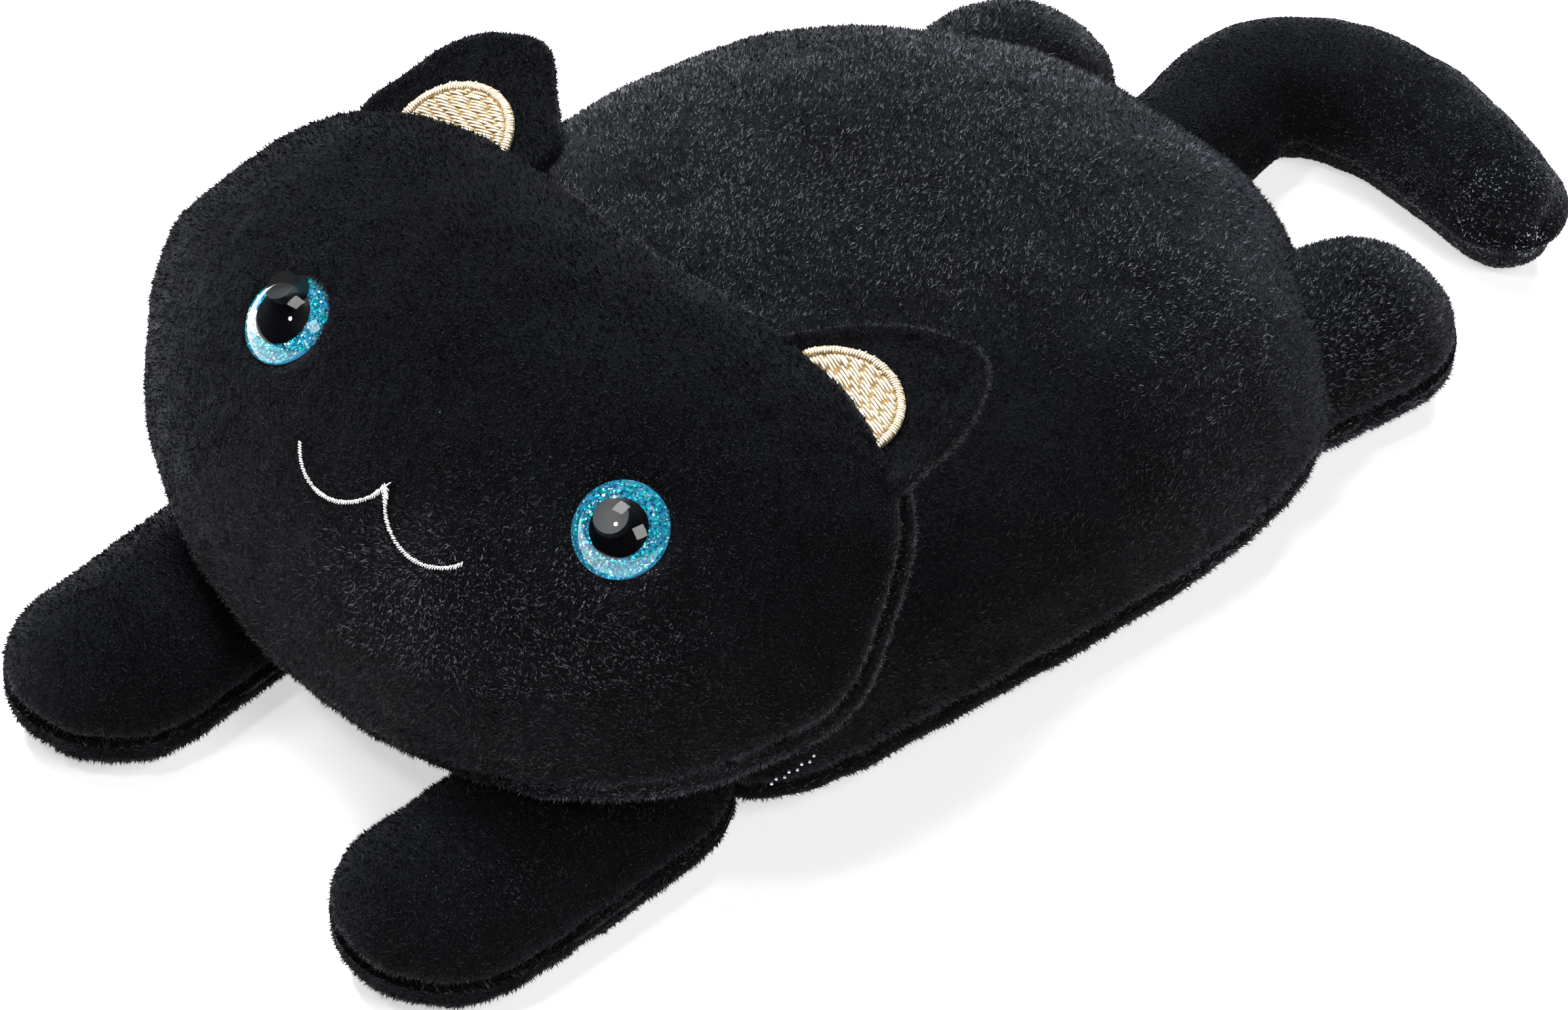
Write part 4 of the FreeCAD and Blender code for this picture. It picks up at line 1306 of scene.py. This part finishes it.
@dataclass
class Eye:
    """A safety eye: clear dome over a ring of glitter with a glossy black pupil.

    Attributes:
        side: Which eye.
        round: Its radius in mm.
        dome: Height of the dome over its rim.
        pupil: The pupil's radius.
        pupil_dome: Height of the pupil's own dome.
        seat: Height of the eye's back over the head's seam plane.
        lean: How far it leans outward, in degrees.
        flakes: Flakes of glitter in the ring.
    """

    side: Side
    round: float = 7.0
    dome: float = 4.2
    pupil: float = 3.55
    pupil_dome: float = 0.95
    seat: float = 16.3
    lean: float = 11.0
    flakes: int = 1700

    @property
    def placing(self) -> Placing:
        """The eye's frame: its seat on the face, leaning outward."""
        spot = Placing((*EYES[self.side], self.seat), (("Y", self.side.value * self.lean),))
        return spot.inside(HEAD)

    def arc(self, radius: float, height: float, foot: float, steps: int = 48) -> List[Point]:
        """A cap's profile from its rim to its top."""
        ball = (radius**2 + height**2) / (2 * height)
        rim = math.asin(min(1.0, radius / ball))
        angles = [rim * (1 - k / steps) for k in range(steps + 1)]
        return [(ball * math.sin(t), foot + height - ball + ball * math.cos(t)) for t in angles]

    def build(self, finishes: Finishes) -> None:
        """Make the dome, the glitter ring with its flakes and the pupil."""
        word = self.side.word
        dome_line = [(0, 0.08), (self.round - 0.2, 0.08), (self.round, 0.25)]
        dome_line += self.arc(self.round, self.dome, 0.85)
        dome = lathe(f"eye_{word}_clear_dome", dome_line, self.placing)
        dress(dome, [finishes.acrylic])
        pupil_line = [(0, 0.63), (self.pupil, 0.63)] + self.arc(self.pupil, self.pupil_dome, 0.66)
        pupil = lathe(f"eye_{word}_pupil_dome", pupil_line, self.placing)
        dress(pupil, [finishes.pupil])
        film_line = [(0, 0.12), (self.round - 0.25, 0.12), (self.round - 0.12, 0.3),
                     (self.round - 0.2, 0.5), (0, 0.5)]
        film = lathe(f"eye_{word}_glitter_film", film_line, self.placing)
        dress(film, [finishes.film])
        flakes = self.flake_mesh(word)
        dress(flakes, finishes.flakes)
        tones = np.random.default_rng(97).choice(6, len(flakes.data.polygons) // 6,
                                                 p=(0.25, 0.2, 0.33, 0.1, 0.05, 0.07))
        flakes.data.polygons.foreach_set("material_index", np.repeat(tones, 6).astype(np.int32))
        for piece, node in ((dome, "dome"), (pupil, "pupil"), (film, "iris")):
            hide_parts(f"eye_{node}_{word}")
        for piece in (dome, pupil, film, flakes):
            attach(piece, "head")

    def flake_mesh(self, word: str) -> bpy.types.Object:
        """Cut flakes scattered over the ring, each tipped a little its own way."""
        rng = np.random.default_rng(101 + self.side.value)
        verts, faces = [], []
        for _n in range(self.flakes):
            r = math.sqrt(rng.uniform((self.pupil - 0.2) ** 2, (self.round - 0.3) ** 2))
            t = rng.uniform(0, 2 * math.pi)
            middle = np.array((r * math.cos(t), r * math.sin(t), rng.uniform(0.5, 0.6)))
            tip = np.array(Euler((rng.normal() * 0.3, rng.normal() * 0.3, rng.uniform(0, 6.3))).to_matrix())
            size = rng.uniform(0.1, 0.22)
            base = len(verts)
            verts.append(middle)
            verts += [middle + tip @ np.array((size * math.cos(a), size * math.sin(a), 0))
                      for a in np.arange(6) * math.pi / 3]
            faces += [(base, base + 1 + k, base + 1 + (k + 1) % 6) for k in range(6)]
        placed = self.placing.apply(np.array(verts))
        return mesh_object(f"eye_{word}_glitter_flakes", placed, np.array(faces), smooth=False)


@dataclass
class ClosingStitches:
    """The short zigzag of hand stitches that closes the head under its left cheek."""

    count: int = 8

    def build(self, finishes: Finishes) -> None:
        """Lay the threads along the back panel, round the cheek's corner."""
        corner, corner_round, middle, pitch = np.array((34.5, 0.5)), 33.4, -26.0, 1.75
        runs = []
        for n in range(self.count):
            angle = math.radians(middle + (n - (self.count - 1) / 2) * pitch)
            out = np.array((math.cos(angle), math.sin(angle)))
            spot = corner + out * corner_round
            swing = 0.35 * (1 if n % 2 else -1)
            a = np.array((*(spot - out * 0.1), -4.6 + swing))
            b = np.array((*(spot + out * 0.4), -3.9 + swing))
            runs.append((HEAD.apply([a])[0], HEAD.apply([b])[0], 0.42))
        verts, faces = stitch_mesh(runs, HEAD.matrix() @ np.array((0.8, -0.4, -0.4)))
        piece = mesh_object("closing_stitches", verts, faces)
        # The pale grey thread is a painted highlight on dark thread.
        dress(piece, [finishes.painted_highlight_thread])
        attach(piece, "head")
        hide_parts("head_closing_stitches")


@dataclass
class NeckSleeve:
    """The short sleeve of cloth between the head's back and the body's slope, held by the neck stitches."""

    radius: float = 19.0

    def build(self, finishes: Finishes) -> None:
        """Make the sleeve."""
        spot = Placing((0.0, -2.0, -11.0)).inside(HEAD)
        section = ((-2.0, -3.0), (0.0, -1.6), (-0.7, 0.0), (0.0, 1.6), (-2.0, 3.4), (-4.0, 3.4), (-3.0, 0.0),
                   (-4.0, -3.0), (-2.0, -3.0))
        line = [(self.radius + inward, height) for inward, height in section]
        piece = lathe("neck_sleeve", line, spot)
        dress(piece, [finishes.cloth])
        low, high = spot.apply([(0, 0, -2.0), (0, 0, 2.0)])
        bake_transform(piece)
        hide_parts("neck_stitching")


# ---------------------------------------------------------------- studio


@dataclass
class Studio:
    """Pale floor, soft lamps and the camera."""

    target: Tuple[float, float, float] = (0.03622, -0.03977, 0.04337)
    camera: Tuple[float, float, float] = (0.65329, -0.65849, 0.87861)
    lens: float = 200.0

    def build(self) -> None:
        """Set everything up."""
        self.floor()
        self.lamps()
        self.view()

    def floor(self) -> None:
        """A wide flat sheet of studio paper."""
        reach = 4000.0
        verts = np.array([(x * reach, y * reach, 0.0) for x, y in ((-1, -1), (1, -1), (1, 1), (-1, 1))])
        paper = mesh_object("studio_floor", verts, np.array([(0, 1, 2, 3)]), smooth=False)
        paper.data.materials.append(Backdrop().build())

    def lamp(self, name: str, place: Tuple[float, float, float], size: float, power: float,
             shape: str = "SQUARE", mirrored_too: bool = True) -> None:
        """One softbox.

        Args:
            name: The lamp's name.
            place: Where it stands, in metres.
            size: Its side or diameter in metres.
            power: Watts.
            shape: SQUARE or DISK.
            mirrored_too: Whether glossy things show its image; a grid on a real softbox hides it.
        """
        data = bpy.data.lights.new(name, "AREA")
        data.shape, data.size, data.energy = shape, size, power
        item = bpy.data.objects.new(name, data)
        item.location = place
        item.rotation_euler = (Vector((0.0, 0.0, 0.03)) - Vector(place)).to_track_quat("-Z", "Y").to_euler()
        item.visible_glossy = mirrored_too
        bpy.context.scene.collection.objects.link(item)

    def lamps(self) -> None:
        """Two big gridded softboxes, two plain ones overhead and at the side, a flash head and dark air."""
        self.lamp("softbox_key", (-0.86, 0.24, 0.9), 0.45, 66.0, mirrored_too=False)
        self.lamp("softbox_rear", (-0.5, 1.05, 0.8), 0.5, 23.0, mirrored_too=False)
        self.lamp("softbox_overhead", (-0.32, -0.02, 1.22), 0.5, 5.0)
        self.lamp("softbox_side", (0.88, -0.16, 0.92), 0.52, 6.0)
        self.lamp("flash_head", (0.0, -0.66, 1.08), 0.17, 2.4, "DISK")
        world = bpy.data.worlds.new("studio_air")
        world.use_nodes = True
        air = world.node_tree.nodes["Background"]
        air.inputs["Color"].default_value = linear("C8D0E0")
        air.inputs["Strength"].default_value = 0.03
        bpy.context.scene.world = world

    def view(self) -> None:
        """The camera, at the toy's front left and well above it."""
        data = bpy.data.cameras.new("camera")
        data.lens, data.sensor_width = self.lens, 36.0
        data.clip_start, data.clip_end = 0.05, 20.0
        item = bpy.data.objects.new("camera", data)
        item.location = self.camera
        item.rotation_euler = (Vector(self.target) - Vector(self.camera)).to_track_quat("-Z", "Y").to_euler()
        bpy.context.scene.collection.objects.link(item)
        bpy.context.scene.camera = item
        bpy.context.scene.view_settings.view_transform = "Standard"


def hidden_hardware(finishes: Finishes) -> None:
    """Give the stems and washers inside the head their plastics."""
    for side in Side:
        for part, look in (("post", finishes.stem), ("washer", finishes.washer)):
            node = f"eye_{part}_{side.word}"
            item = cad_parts[node]
            item.data.materials.clear()
            item.data.materials.append(look)
            LOG.info("%s: kept from the frame", node)


def main() -> None:
    """Build the whole toy and its studio."""
    logging.basicConfig(level=logging.INFO, format="%(name)s %(message)s")
    finishes = Finishes()
    head = head_piece()
    for piece in (body_piece(), head, *leg_pieces(), tail_piece()):
        piece.build(finishes)
    for ear in ears():
        ear.build(finishes)
    for side in Side:
        Eye(side).build(finishes)
    Mouth(head).build(finishes)
    ClosingStitches().build(finishes)
    NeckSleeve().build(finishes)
    hidden_hardware(finishes)
    Studio().build()


if __name__ == "__main__":
    main()
